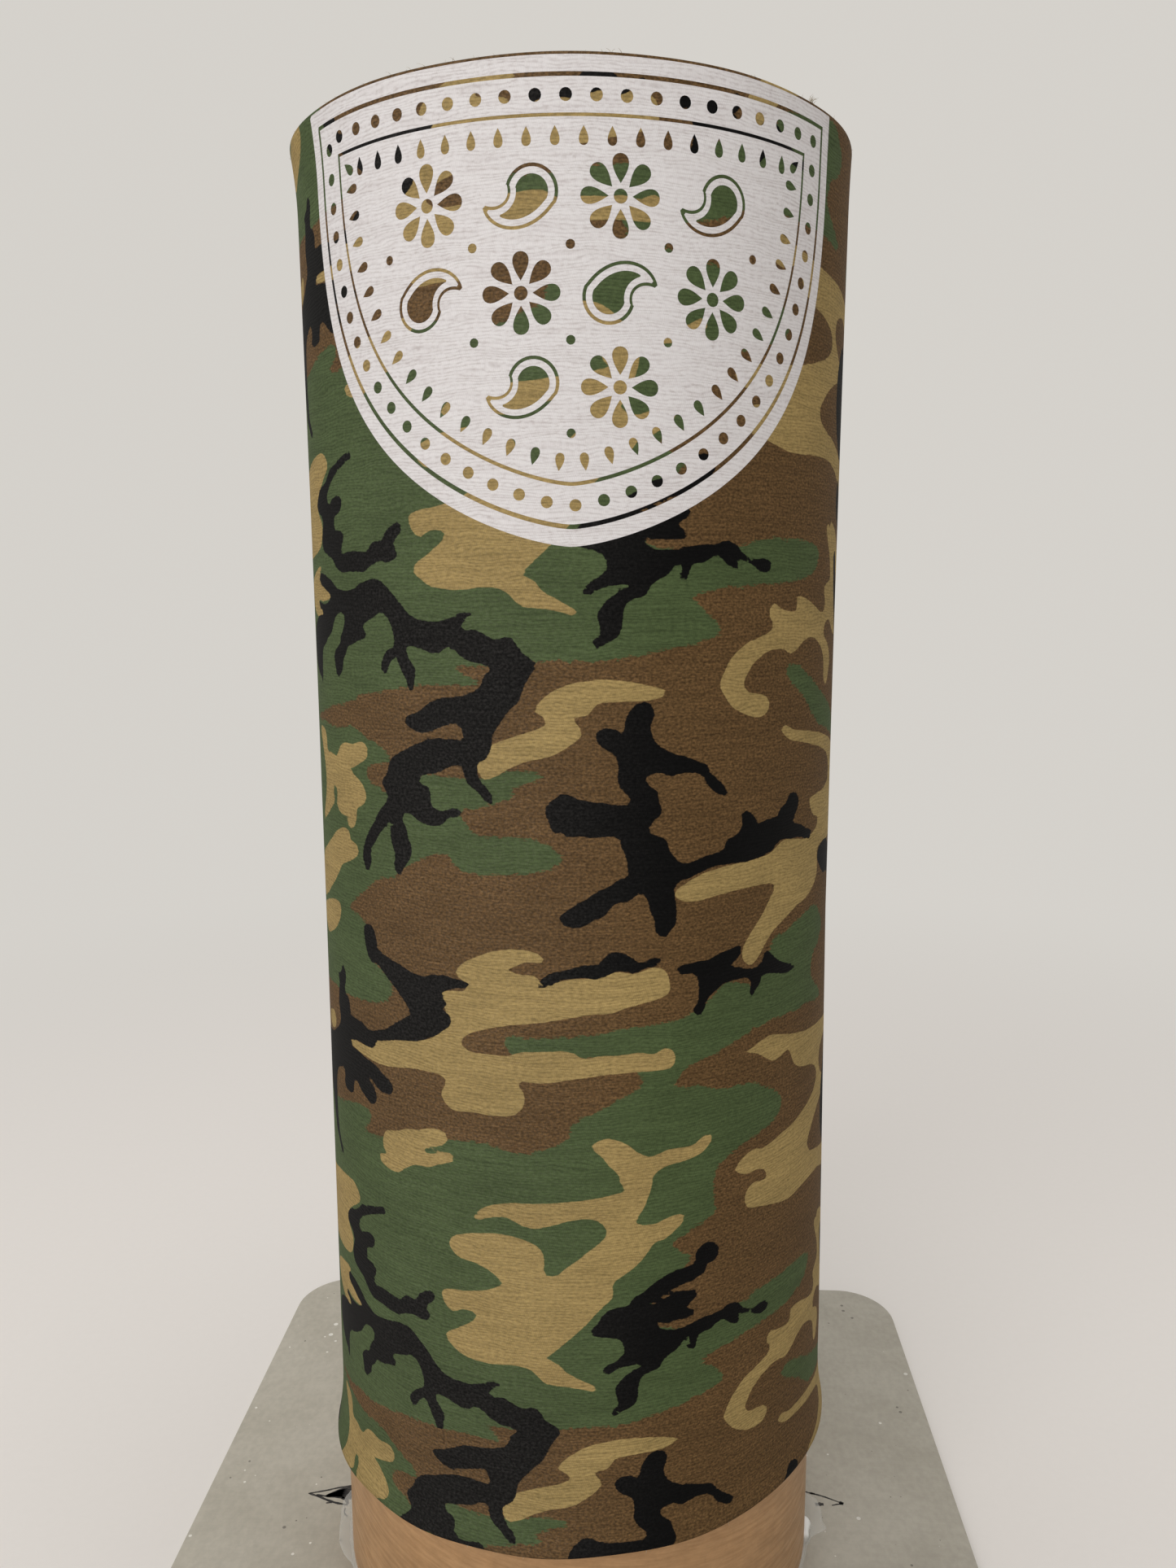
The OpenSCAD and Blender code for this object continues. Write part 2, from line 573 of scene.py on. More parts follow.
@dataclass(frozen=True)
class ClearGlue:
    """Clear glossy hot-melt glue, cloudy where it is thick, and whitened along the top of its thick run as
    a painted highlight.
    """

    clear: Colour = (0.95, 0.95, 0.90)  # Colour of the clear glue
    cloud_and_highlight: Colour = (0.96, 0.96, 0.94)  # Colour of its cloudy parts, also its painted highlight

    def material(self) -> bpy.types.Material:
        """Build the finish.

        Returns:
            Its material.
        """
        nodes = FinishNodes("clear_glue", IOR=1.48)
        place = nodes.place()
        # Cloudiness that rises to the top of each section: real cloud where the glue is thick, and a
        # painted highlight on the crest
        thick = nodes.carried("cloud_and_highlight")
        swirl = nodes.math("SUBTRACT", nodes.noise(place, 300.0, 2.0), 0.5)
        cloudy = nodes.ramp(nodes.math("MULTIPLY_ADD", swirl, 0.5, thick), 0.1, 0.75)
        nodes.link(nodes.mix(cloudy, self.clear, self.cloud_and_highlight), "Base Color")
        nodes.link(nodes.ramp(cloudy, 0.0, 1.0, 0.28, 0.95), "Alpha")
        nodes.link(nodes.ramp(cloudy, 0.0, 1.0, 0.05, 0.16), "Roughness")
        nodes.bump(nodes.noise(place, 240.0, 1.0), 0.3 * MM, 0.4)
        return nodes.material


@dataclass(frozen=True)
class MarkerInk:
    """Black marker on metal, thinner where the pen ran dry."""

    ink: Colour = (0.018, 0.017, 0.018)  # Colour of the full ink
    dry: Colour = (0.10, 0.093, 0.085)  # Colour where it is thin

    def material(self) -> bpy.types.Material:
        """Build the finish.

        Returns:
            Its material.
        """
        nodes = FinishNodes("marker_ink", Specular_IOR_Level=0.3)
        streak = nodes.streaky(nodes.place(), (260.0, 900.0, 260.0), 3.0)
        nodes.link(nodes.mix(nodes.ramp(streak, 0.45, 0.75), self.ink, self.dry), "Base Color")
        nodes.link(nodes.ramp(streak, 0.3, 0.7, 0.55, 0.75), "Roughness")
        nodes.bump(streak, 0.02 * MM, 0.3)
        return nodes.material


@dataclass(frozen=True)
class LooseYarn:
    """Pale fluffy ends of the knit's yarn."""

    pale: Colour = (0.52, 0.47, 0.38)  # Colour of the fluff
    dyed: Colour = (0.26, 0.21, 0.13)  # Colour of the dyed yarn

    def material(self) -> bpy.types.Material:
        """Build the finish.

        Returns:
            Its material.
        """
        nodes = FinishNodes("loose_yarn", Roughness=0.95, Sheen_Weight=0.2, Sheen_Roughness=0.5)
        twist = nodes.noise(nodes.place(), 900.0, 2.0)
        nodes.link(nodes.mix(nodes.ramp(twist, 0.35, 0.65), self.dyed, self.pale), "Base Color")
        nodes.bump(twist, 0.03 * MM, 0.4)
        return nodes.material


@dataclass(frozen=True)
class StudioPaper:
    """Pale paper under and round the object, which fades into the background."""

    paper: Colour = (0.83, 0.795, 0.765)  # Colour of the paper where it is lit
    fibre: Colour = (0.6, 0.57, 0.53)  # Colour of the fibres in it
    background: Colour = (0.665, 0.64, 0.60)  # Colour that it fades to, as it shows
    near: float = 0.32  # Where the fade starts, in metres from the object's axis
    far: float = 1.1  # Where the fade ends

    def material(self) -> bpy.types.Material:
        """Build the finish.

        Returns:
            Its material.
        """
        nodes = FinishNodes("studio_paper", Roughness=0.9, Specular_IOR_Level=0.2)
        place = nodes.place()
        fibres = nodes.noise(place, 300.0, 3.0)
        colour = nodes.mix(nodes.ramp(fibres, 0.2, 0.8, 0.0, 0.04), self.paper, self.fibre)
        nodes.link(colour, "Base Color")
        glow = nodes.node("Emission", {"Color": (*self.background, 1.0), "Strength": 1.0})
        reach = nodes.node("VectorMath", {0: place}, operation="LENGTH").outputs["Value"]
        share = nodes.product(nodes.ramp(reach, self.near, self.far), nodes.seen())
        nodes.show(nodes.shader.outputs[0], glow.outputs[0], share, "Material Output")
        return nodes.material


@dataclass(frozen=True)
class Stroke:
    """A brush stroke of camouflage: dabs of changing radius along a smooth path."""

    dabs: tuple[Dab, ...]  # Around, down and radius of each dab, in millimetres

    def reach(self) -> tuple[Array, Array]:
        """Lowest and highest corner of the stroke's box."""
        dabs = np.array(self.dabs)
        return (dabs[:, :2] - dabs[:, 2:]).min(0), (dabs[:, :2] + dabs[:, 2:]).max(0)

    def distance(self, places: Array) -> Array:
        """Measure how far places lie from the stroke's edge, below 0 inside.

        Args:
            places: Around and down of each place.

        Returns:
            One distance per place.
        """
        path = smooth_path(np.array(self.dabs), closed=False)
        result = np.full(len(places), np.inf)
        for start, end in zip(path, path[1:]):
            gap, share = from_segment(places, start[:2], end[:2])
            radius = start[2] + share * (end[2] - start[2])
            result = np.minimum(result, gap - radius)
        return result


@dataclass(frozen=True)
class Patch:
    """A broad patch of camouflage inside a closed smooth outline."""

    outline: tuple[Point, ...]  # Around and down of the points that it runs through, in millimetres

    def reach(self) -> tuple[Array, Array]:
        """Lowest and highest corner of the patch's box."""
        points = np.array(self.outline)
        return points.min(0), points.max(0)

    def distance(self, places: Array) -> Array:
        """Measure how far places lie from the patch's edge, below 0 inside.

        Args:
            places: Around and down of each place.

        Returns:
            One distance per place.
        """
        path = smooth_path(np.array(self.outline), closed=True, steps=3)
        result = np.full(len(places), np.inf)
        for start, end in zip(path, np.roll(path, -1, axis=0)):
            result = np.minimum(result, from_segment(places, start, end)[0])
        return np.where(inside(path, places), -result, result)


GREEN_SHAPES = (
    # The wide patch across the lower front
    Patch((
        (-124, 314.5), (-104, 313), (-92, 310), (-82, 307.5), (-75.5, 308.5), (-76.5, 312),
        (-80.5, 315.5), (-72, 315), (-62, 311), (-52, 309), (-40, 307.5), (-30, 306.5), (-22, 308),
        (-16, 309), (-8, 306.5), (-2, 303.5), (-0.5, 298.5), (6, 295), (14, 291), (21, 287), (26, 282),
        (30, 288.8), (40, 290), (48, 292.5), (58, 293), (66, 296), (74, 301.5), (75.5, 306.5),
        (70, 310), (58, 313), (50, 316), (45.5, 321), (45.5, 328), (46, 333), (40, 336), (34, 338.5),
        (30, 341), (38, 346), (30, 353), (24, 359), (24, 366), (32, 369.5), (44, 369.5), (56, 368.5),
        (66, 366.3), (78, 366), (90, 366), (97, 368), (98, 371), (94, 375.5), (84, 378), (70, 379),
        (56, 380), (46, 381.5), (41, 383.5), (45, 386.5), (49, 390), (50, 393.5), (44, 395.8),
        (34, 397.8), (22, 399.8), (12, 401), (0, 400.5), (-8, 402), (-19.5, 402.5), (-29, 402.8),
        (-25.5, 405.5), (-22.5, 408), (-34.5, 408), (-46.5, 409.3), (-56.5, 410.5), (-66.5, 412.5),
        (-76.5, 415.5), (-86.5, 416.8), (-98.5, 420), (-112, 422.5), (-125, 428), (-136, 434),
        (-144, 432), (-141, 426), (-131, 420), (-135, 413.5), (-147, 409), (-157, 404), (-158, 398),
        (-148, 394), (-137, 392), (-132, 386), (-139, 379), (-151, 375), (-150, 368), (-139, 364),
        (-131, 358), (-134, 350), (-146, 345), (-157, 342), (-159, 335), (-150, 331), (-140, 331),
        (-131, 326), (-134, 319),
    )),
    # The patch at the left
    Patch((
        (-124, 181), (-104, 181.5), (-90, 181.8), (-78, 181), (-70, 184), (-62, 187), (-60, 190),
        (-66, 191), (-71.5, 193.5), (-70, 197.5), (-62, 200), (-52, 206), (-52, 219.5), (-60, 226),
        (-68, 228.5), (-74, 232.5), (-80, 236), (-86, 240), (-82, 241.5), (-76, 242.5), (-73, 248),
        (-70, 256), (-65, 258.5), (-62, 262.5), (-64, 266.5), (-70, 269), (-80, 270), (-92, 272),
        (-104, 271.5), (-116, 273), (-128, 276.5), (-139, 273), (-137, 266), (-128, 261), (-132, 254),
        (-144, 250), (-156, 251), (-160, 245), (-152, 240), (-140, 239), (-133, 233), (-137, 226),
        (-147, 221), (-146, 213), (-136, 209), (-130, 202), (-137, 195), (-150, 192.5), (-155, 186),
        (-147, 181), (-135, 183.5),
    )),
    # The patch right of it, behind the black branch
    Patch((
        (-50, 195), (-40, 193.5), (-30, 193), (-20, 191), (-11, 190.5), (-8.5, 192.5), (-14, 194.5),
        (-18.5, 196.5), (-16, 198), (-22, 200), (-30, 202), (-34.5, 204), (-32, 208), (-27, 210.5),
        (-14, 210.3), (-7, 212.5), (-3, 216), (-6, 219), (-14, 221), (-24, 222), (-34, 221.5),
        (-37.5, 218), (-40, 216.5), (-48, 219), (-54, 219),
    )),
    # The band across the middle, to the right
    Patch((
        (-21, 271.5), (-12, 271.3), (0, 271), (8, 270), (18, 268.5), (28, 268), (36, 266.5), (44, 262),
        (48, 259), (56, 259), (62, 261), (69, 249), (76, 247), (84, 244.5), (92, 243), (98, 243),
        (104, 246.5), (108, 252), (104, 257), (97.5, 260), (96, 266), (100, 270.5), (107, 275.5),
        (104, 277), (92, 275.8), (78, 275), (66, 275.3), (56, 277), (46, 280.5), (38, 282), (33, 285.5),
        (30, 289), (24, 288), (20, 284), (12, 278), (-8, 278), (-19, 277),
    )),
    # The sliver at the upper right
    Patch((
        (73, 163), (79, 161.8), (88, 166), (98, 171), (107, 175), (120, 181.5), (124, 188),
        (108, 184.5), (96, 181.5), (90, 177), (84, 172), (76, 167),
    )),
)

TAN_SHAPES = (
    # The big figure across the lower middle
    Patch((
        (5, 306), (9, 303.5), (15, 305), (20, 309), (24, 310.5), (29, 309), (37, 309), (41, 307),
        (43.5, 306.5), (44.5, 308.5), (41, 312), (35, 313.5), (28, 314.5), (24.5, 317), (24, 320),
        (22, 326), (19, 331.5), (24, 333), (29, 331.5), (34, 331), (35, 333), (32, 336), (28, 338.5),
        (25, 339), (22, 343), (18, 347), (12, 351), (11.5, 356), (7, 360.5), (4, 364), (-2, 370),
        (-7, 374.5), (-9, 376.5), (-5, 378.5), (-3, 381), (2, 384), (6.5, 386.5), (6, 388), (2, 387),
        (-4, 386), (-9, 385.5), (-12, 382.5), (-15, 380.5), (-20, 380), (-28, 380.8), (-36, 380),
        (-40, 378), (-43, 375.5), (-42, 373), (-37, 370), (-32, 366), (-33, 364), (-37, 364),
        (-40, 365.5), (-43, 364), (-44.5, 360), (-41, 358), (-36, 357.5), (-28, 355.5), (-24, 353.5),
        (-23, 352), (-27, 349), (-32, 347), (-37, 346.5), (-41, 343.5), (-40, 340), (-34, 337.5),
        (-26, 336), (-19, 336.3), (-13, 338), (-10, 341), (-9.5, 346), (-10, 348), (-6, 348.3),
        (-3, 346), (2, 342), (8, 337), (10, 334), (8, 331), (4, 329.3), (-2, 330), (-8, 332),
        (-14, 333), (-18, 331.5), (-22, 330), (-27, 331), (-31, 332.5), (-32, 331), (-29, 328),
        (-24, 326), (-18, 325), (-10, 324.5), (-2, 323.7), (6, 322.8), (13, 321.5), (16, 320.5),
        (14, 318.5), (13.5, 315), (11, 313), (8.5, 309.5),
    )),
    # The arc at the upper middle
    Patch((
        (28, 168), (20, 165.5), (10, 164.2), (2, 164.8), (-4, 166.5), (-9, 170), (-11, 173),
        (-8.5, 174.8), (-7.5, 177), (-12, 179), (-20, 181.5), (-26, 184.5), (-28.5, 188), (-28, 192),
        (-26, 193.5), (-22, 192), (-18, 189.5), (-12, 187.5), (-6, 186), (-2, 184), (2, 181),
        (2.5, 178.5), (0, 175), (4, 174.5), (6, 172.5), (8, 170.8), (14, 170.5), (20, 170.5),
        (25, 169.8),
    )),
    # The hook at the upper right
    Patch((
        (64, 171), (65, 173.5), (63.5, 176), (60, 177), (54, 175.5), (49, 172.5), (46, 168.5),
        (45, 166.5), (46.5, 163), (49, 159), (54, 155), (60, 153), (65, 151), (66.3, 149), (64.5, 147),
        (64.2, 145), (66, 143), (67.5, 143.3), (70, 144.5), (74, 145.3), (78, 145), (78.2, 141.5),
        (80, 140.8), (84, 141.5), (90, 143.5), (96, 145.7), (99.5, 145.3), (100.3, 142), (98.7, 138.5),
        (102, 136.5), (105.5, 135.5), (106, 132), (104.5, 128), (102, 124), (100, 120.5), (100.5, 118),
        (104, 119), (108, 122), (110.5, 127), (111.5, 132), (113, 138), (115.5, 145), (122, 146),
        (134, 147), (136, 151), (128, 154), (120, 153.5), (114, 152.8), (110, 150.5), (106, 148.3),
        (102, 149), (99.5, 151.5), (101, 154), (105, 156), (108, 159), (109, 162), (107.5, 166),
        (105, 169), (102.5, 169), (101, 166), (100.5, 161), (98, 157.5), (93, 154.5), (88, 153.5),
        (83, 154.7), (79, 157), (75, 158.2), (72, 157), (67, 156.7), (62, 158), (57.5, 161),
        (55, 164.5), (54, 167), (56, 169.2), (60, 169.8),
    )),
    # The thread below the hook, which joins the band round the right edge
    Patch((
        (71.5, 181), (74, 180.3), (78, 182), (86, 183), (96, 184.5), (106, 186.5), (116, 189),
        (126, 193), (133, 199), (130, 206), (120, 206), (113, 202), (113.5, 198), (110, 193.5),
        (104, 191), (94, 188.5), (84, 186.5), (76, 185), (72, 182.5),
    )),
    # The band at the right, above the middle
    Patch((
        (90.5, 206), (91.5, 208.5), (94, 211.5), (98, 212.5), (99.5, 213.5), (98, 216), (94, 217.5),
        (88, 218.5), (80, 217.2), (75, 216.8), (71, 218), (67, 220), (58, 221), (48, 221.5), (40, 223),
        (34, 225.5), (30.5, 228), (33, 230.5), (38, 231.2), (46, 230), (56, 229.5), (66, 229.5),
        (70, 231), (67, 235), (64, 239), (59, 244), (56, 248), (55.5, 251), (57, 253.5), (59.5, 254.5),
        (62.5, 252.5), (66, 248.5), (70, 245), (76, 242.5), (82, 240), (88, 239), (94, 237),
        (98, 234.5), (100, 231), (99.5, 227), (100, 224), (106, 222.5), (114, 223), (124, 222),
        (133, 216), (131, 206), (124, 203), (116, 202), (110, 203), (104, 204.5), (96, 205),
    )),
    # The flag across the middle
    Patch((
        (-37, 254), (-35, 250.5), (-30, 247.5), (-24, 245), (-18, 244.2), (-12, 244.8), (-9, 246.5),
        (-9.5, 248), (-14, 248), (-18, 249.5), (-20, 250.8), (-17, 251.8), (-12, 252), (-10, 253.5),
        (-10.5, 255), (-7, 254.5), (-2, 253), (4, 252.8), (9, 252), (13, 250.8), (18, 251.8),
        (24, 250.3), (27.5, 251.3), (29, 254), (29.5, 257.5), (28, 259.5), (22, 261), (15, 262.5),
        (12, 263.7), (4, 264), (-2, 265), (-10, 266.5), (-20, 268), (-28, 270), (-33, 272),
        (-35.5, 275), (-33, 277.3), (-28, 277.7), (-20, 277.5), (-16, 276.2), (-10, 275.7), (-4, 275.2),
        (0, 276), (3, 277.7), (8, 277), (14, 277), (20, 276.5), (24, 277.5), (28, 276), (30.5, 277),
        (31.5, 280), (30, 282.5), (25, 283), (18, 282.7), (8, 283.2), (0, 284.2), (-8, 285.5),
        (-14, 285.7), (-17, 285.3), (-16.5, 287.5), (-15, 290), (-16, 294), (-19, 296.5), (-24, 297.2),
        (-32, 297), (-38, 297.5), (-41, 296), (-43, 293), (-41.5, 290), (-41.5, 287.5), (-46, 286.5),
        (-54, 287), (-62, 288.5), (-70, 289.5), (-80, 289), (-88, 288), (-89.5, 287), (-87, 285.5),
        (-80, 285.5), (-73, 284.8), (-71, 282), (-67, 280.8), (-62, 279.5), (-55, 278), (-48, 276.3),
        (-43, 273), (-40, 270), (-40.5, 266), (-42.5, 261), (-40, 259.3), (-34, 258.5), (-33, 256),
    )),
    # The small blot below it
    Patch((
        (-42, 305.5), (-46, 305), (-52, 307), (-57, 308), (-62, 310), (-67, 311.5), (-69, 315),
        (-68.5, 318), (-67, 319.5), (-70.5, 320.5), (-71, 322.5), (-68, 324), (-62, 324.3),
        (-58, 321.5), (-54, 319.3), (-48, 318.5), (-44, 316.5), (-40, 315), (-38.5, 313.5), (-40, 312),
        (-44, 312.5), (-48, 314), (-50, 313.5), (-49, 312), (-44, 310.5), (-41, 308),
    )),
    # The flower at the left
    Patch((
        (-112, 184), (-107, 183.3), (-104, 184), (-102, 187), (-101.5, 191), (-97, 190.7), (-92, 191.5),
        (-89, 188.5), (-85, 186.3), (-80, 186.5), (-76, 185.5), (-73, 185.3), (-71, 187), (-71.5, 190),
        (-75, 192), (-80, 194), (-82, 195), (-78, 196.5), (-74, 199), (-72.2, 202), (-74, 205),
        (-78, 206.8), (-78.5, 210), (-80, 213), (-83, 214), (-84.5, 212.5), (-84, 210.5), (-90, 210),
        (-93, 207.5), (-92.5, 204.5), (-93, 202), (-95, 201.5), (-96, 204), (-95.5, 207), (-100, 210),
        (-106, 213.5), (-112, 215), (-106, 206), (-105, 198), (-108, 191),
    )),
    # The leaves at the left
    Patch((
        (-84, 215), (-83.5, 217.5), (-80, 218.3), (-78, 220), (-79, 222.5), (-84, 225), (-90, 227),
        (-93, 230), (-98, 234), (-104, 238), (-110, 241), (-118, 243), (-124, 238), (-116, 228),
        (-108, 224), (-100, 220), (-94, 216.5), (-88, 214.5),
    )),
    Patch((
        (-93, 241.5), (-97, 240.5), (-103, 241.5), (-110, 243.5), (-118, 246), (-122, 250), (-112, 255),
        (-104, 253), (-98, 250), (-94, 246),
    )),
    Patch((
        (-103, 131), (-107, 132), (-114, 134), (-120, 138), (-116, 144), (-108, 147), (-102, 147),
        (-100.5, 145.5), (-104, 143.5), (-106, 141.5), (-100, 142), (-94, 141.5), (-90.5, 140.5),
        (-94, 139), (-100, 137), (-103.5, 135.5), (-101, 131.5),
    )),
    # The round mass at the lower left and the blot above it
    Patch((
        (-86, 340), (-85, 343), (-88, 345.5), (-94, 350), (-97, 354), (-95, 357), (-92, 360),
        (-93, 365), (-96, 367.5), (-103, 369), (-114, 370), (-126, 368), (-130, 356), (-124, 346),
        (-112, 342), (-104, 340), (-96, 338.5), (-90, 338),
    )),
    Patch((
        (-110, 283), (-106, 282), (-103.5, 284.5), (-105, 287.5), (-110, 289.5), (-114, 288),
        (-114, 284),
    )),
    # The wing at the lower right
    Patch((
        (57, 282.5), (60, 282), (66, 280.3), (70, 280), (76, 281.5), (84, 283.5), (92, 285), (100, 286),
        (110, 287), (122, 289), (134, 291), (132, 297), (118, 295), (110, 297), (108, 302), (112, 307),
        (120, 311), (130, 315), (128, 318), (116, 315.5), (108, 317), (101, 320.5), (96, 325),
        (95.5, 327.5), (98, 330.5), (106, 333), (114, 335.5), (124, 339), (134, 346), (128, 349),
        (112, 342.5), (104, 340.5), (92, 340), (80, 340.5), (72, 339), (66, 337.5), (60, 336),
        (58, 333), (59, 330), (62, 328), (66, 328.5), (68.3, 328), (67, 325), (63, 323.8), (58, 324),
        (54.5, 322), (54, 320.5), (57, 318), (62, 316.3), (66, 317.5), (74, 316), (84, 314.5),
        (94, 312), (100, 310), (104, 307), (104.5, 304), (102, 301), (96, 298.5), (88, 296.5),
        (83, 293.5), (80.5, 289), (78.5, 287.3), (75, 288.5), (71, 289), (67.5, 287.5), (63, 284.5),
    )),
    Stroke(((111, 360.5, 1.6), (118, 366, 4), (128, 374, 3))),
    # The blots round the side
    Patch((
        (128, 262), (137, 258.5), (147, 260.5), (155, 257), (161, 260), (156, 266.5), (146, 268.5),
        (141, 274), (133, 276), (127, 271.5), (133, 267.5),
    )),
    Patch((
        (140, 174), (147, 169), (156, 170.5), (161, 165), (166, 167), (164, 174), (156, 178.5),
        (157, 184), (150, 186), (145, 181), (139, 179),
    )),
)

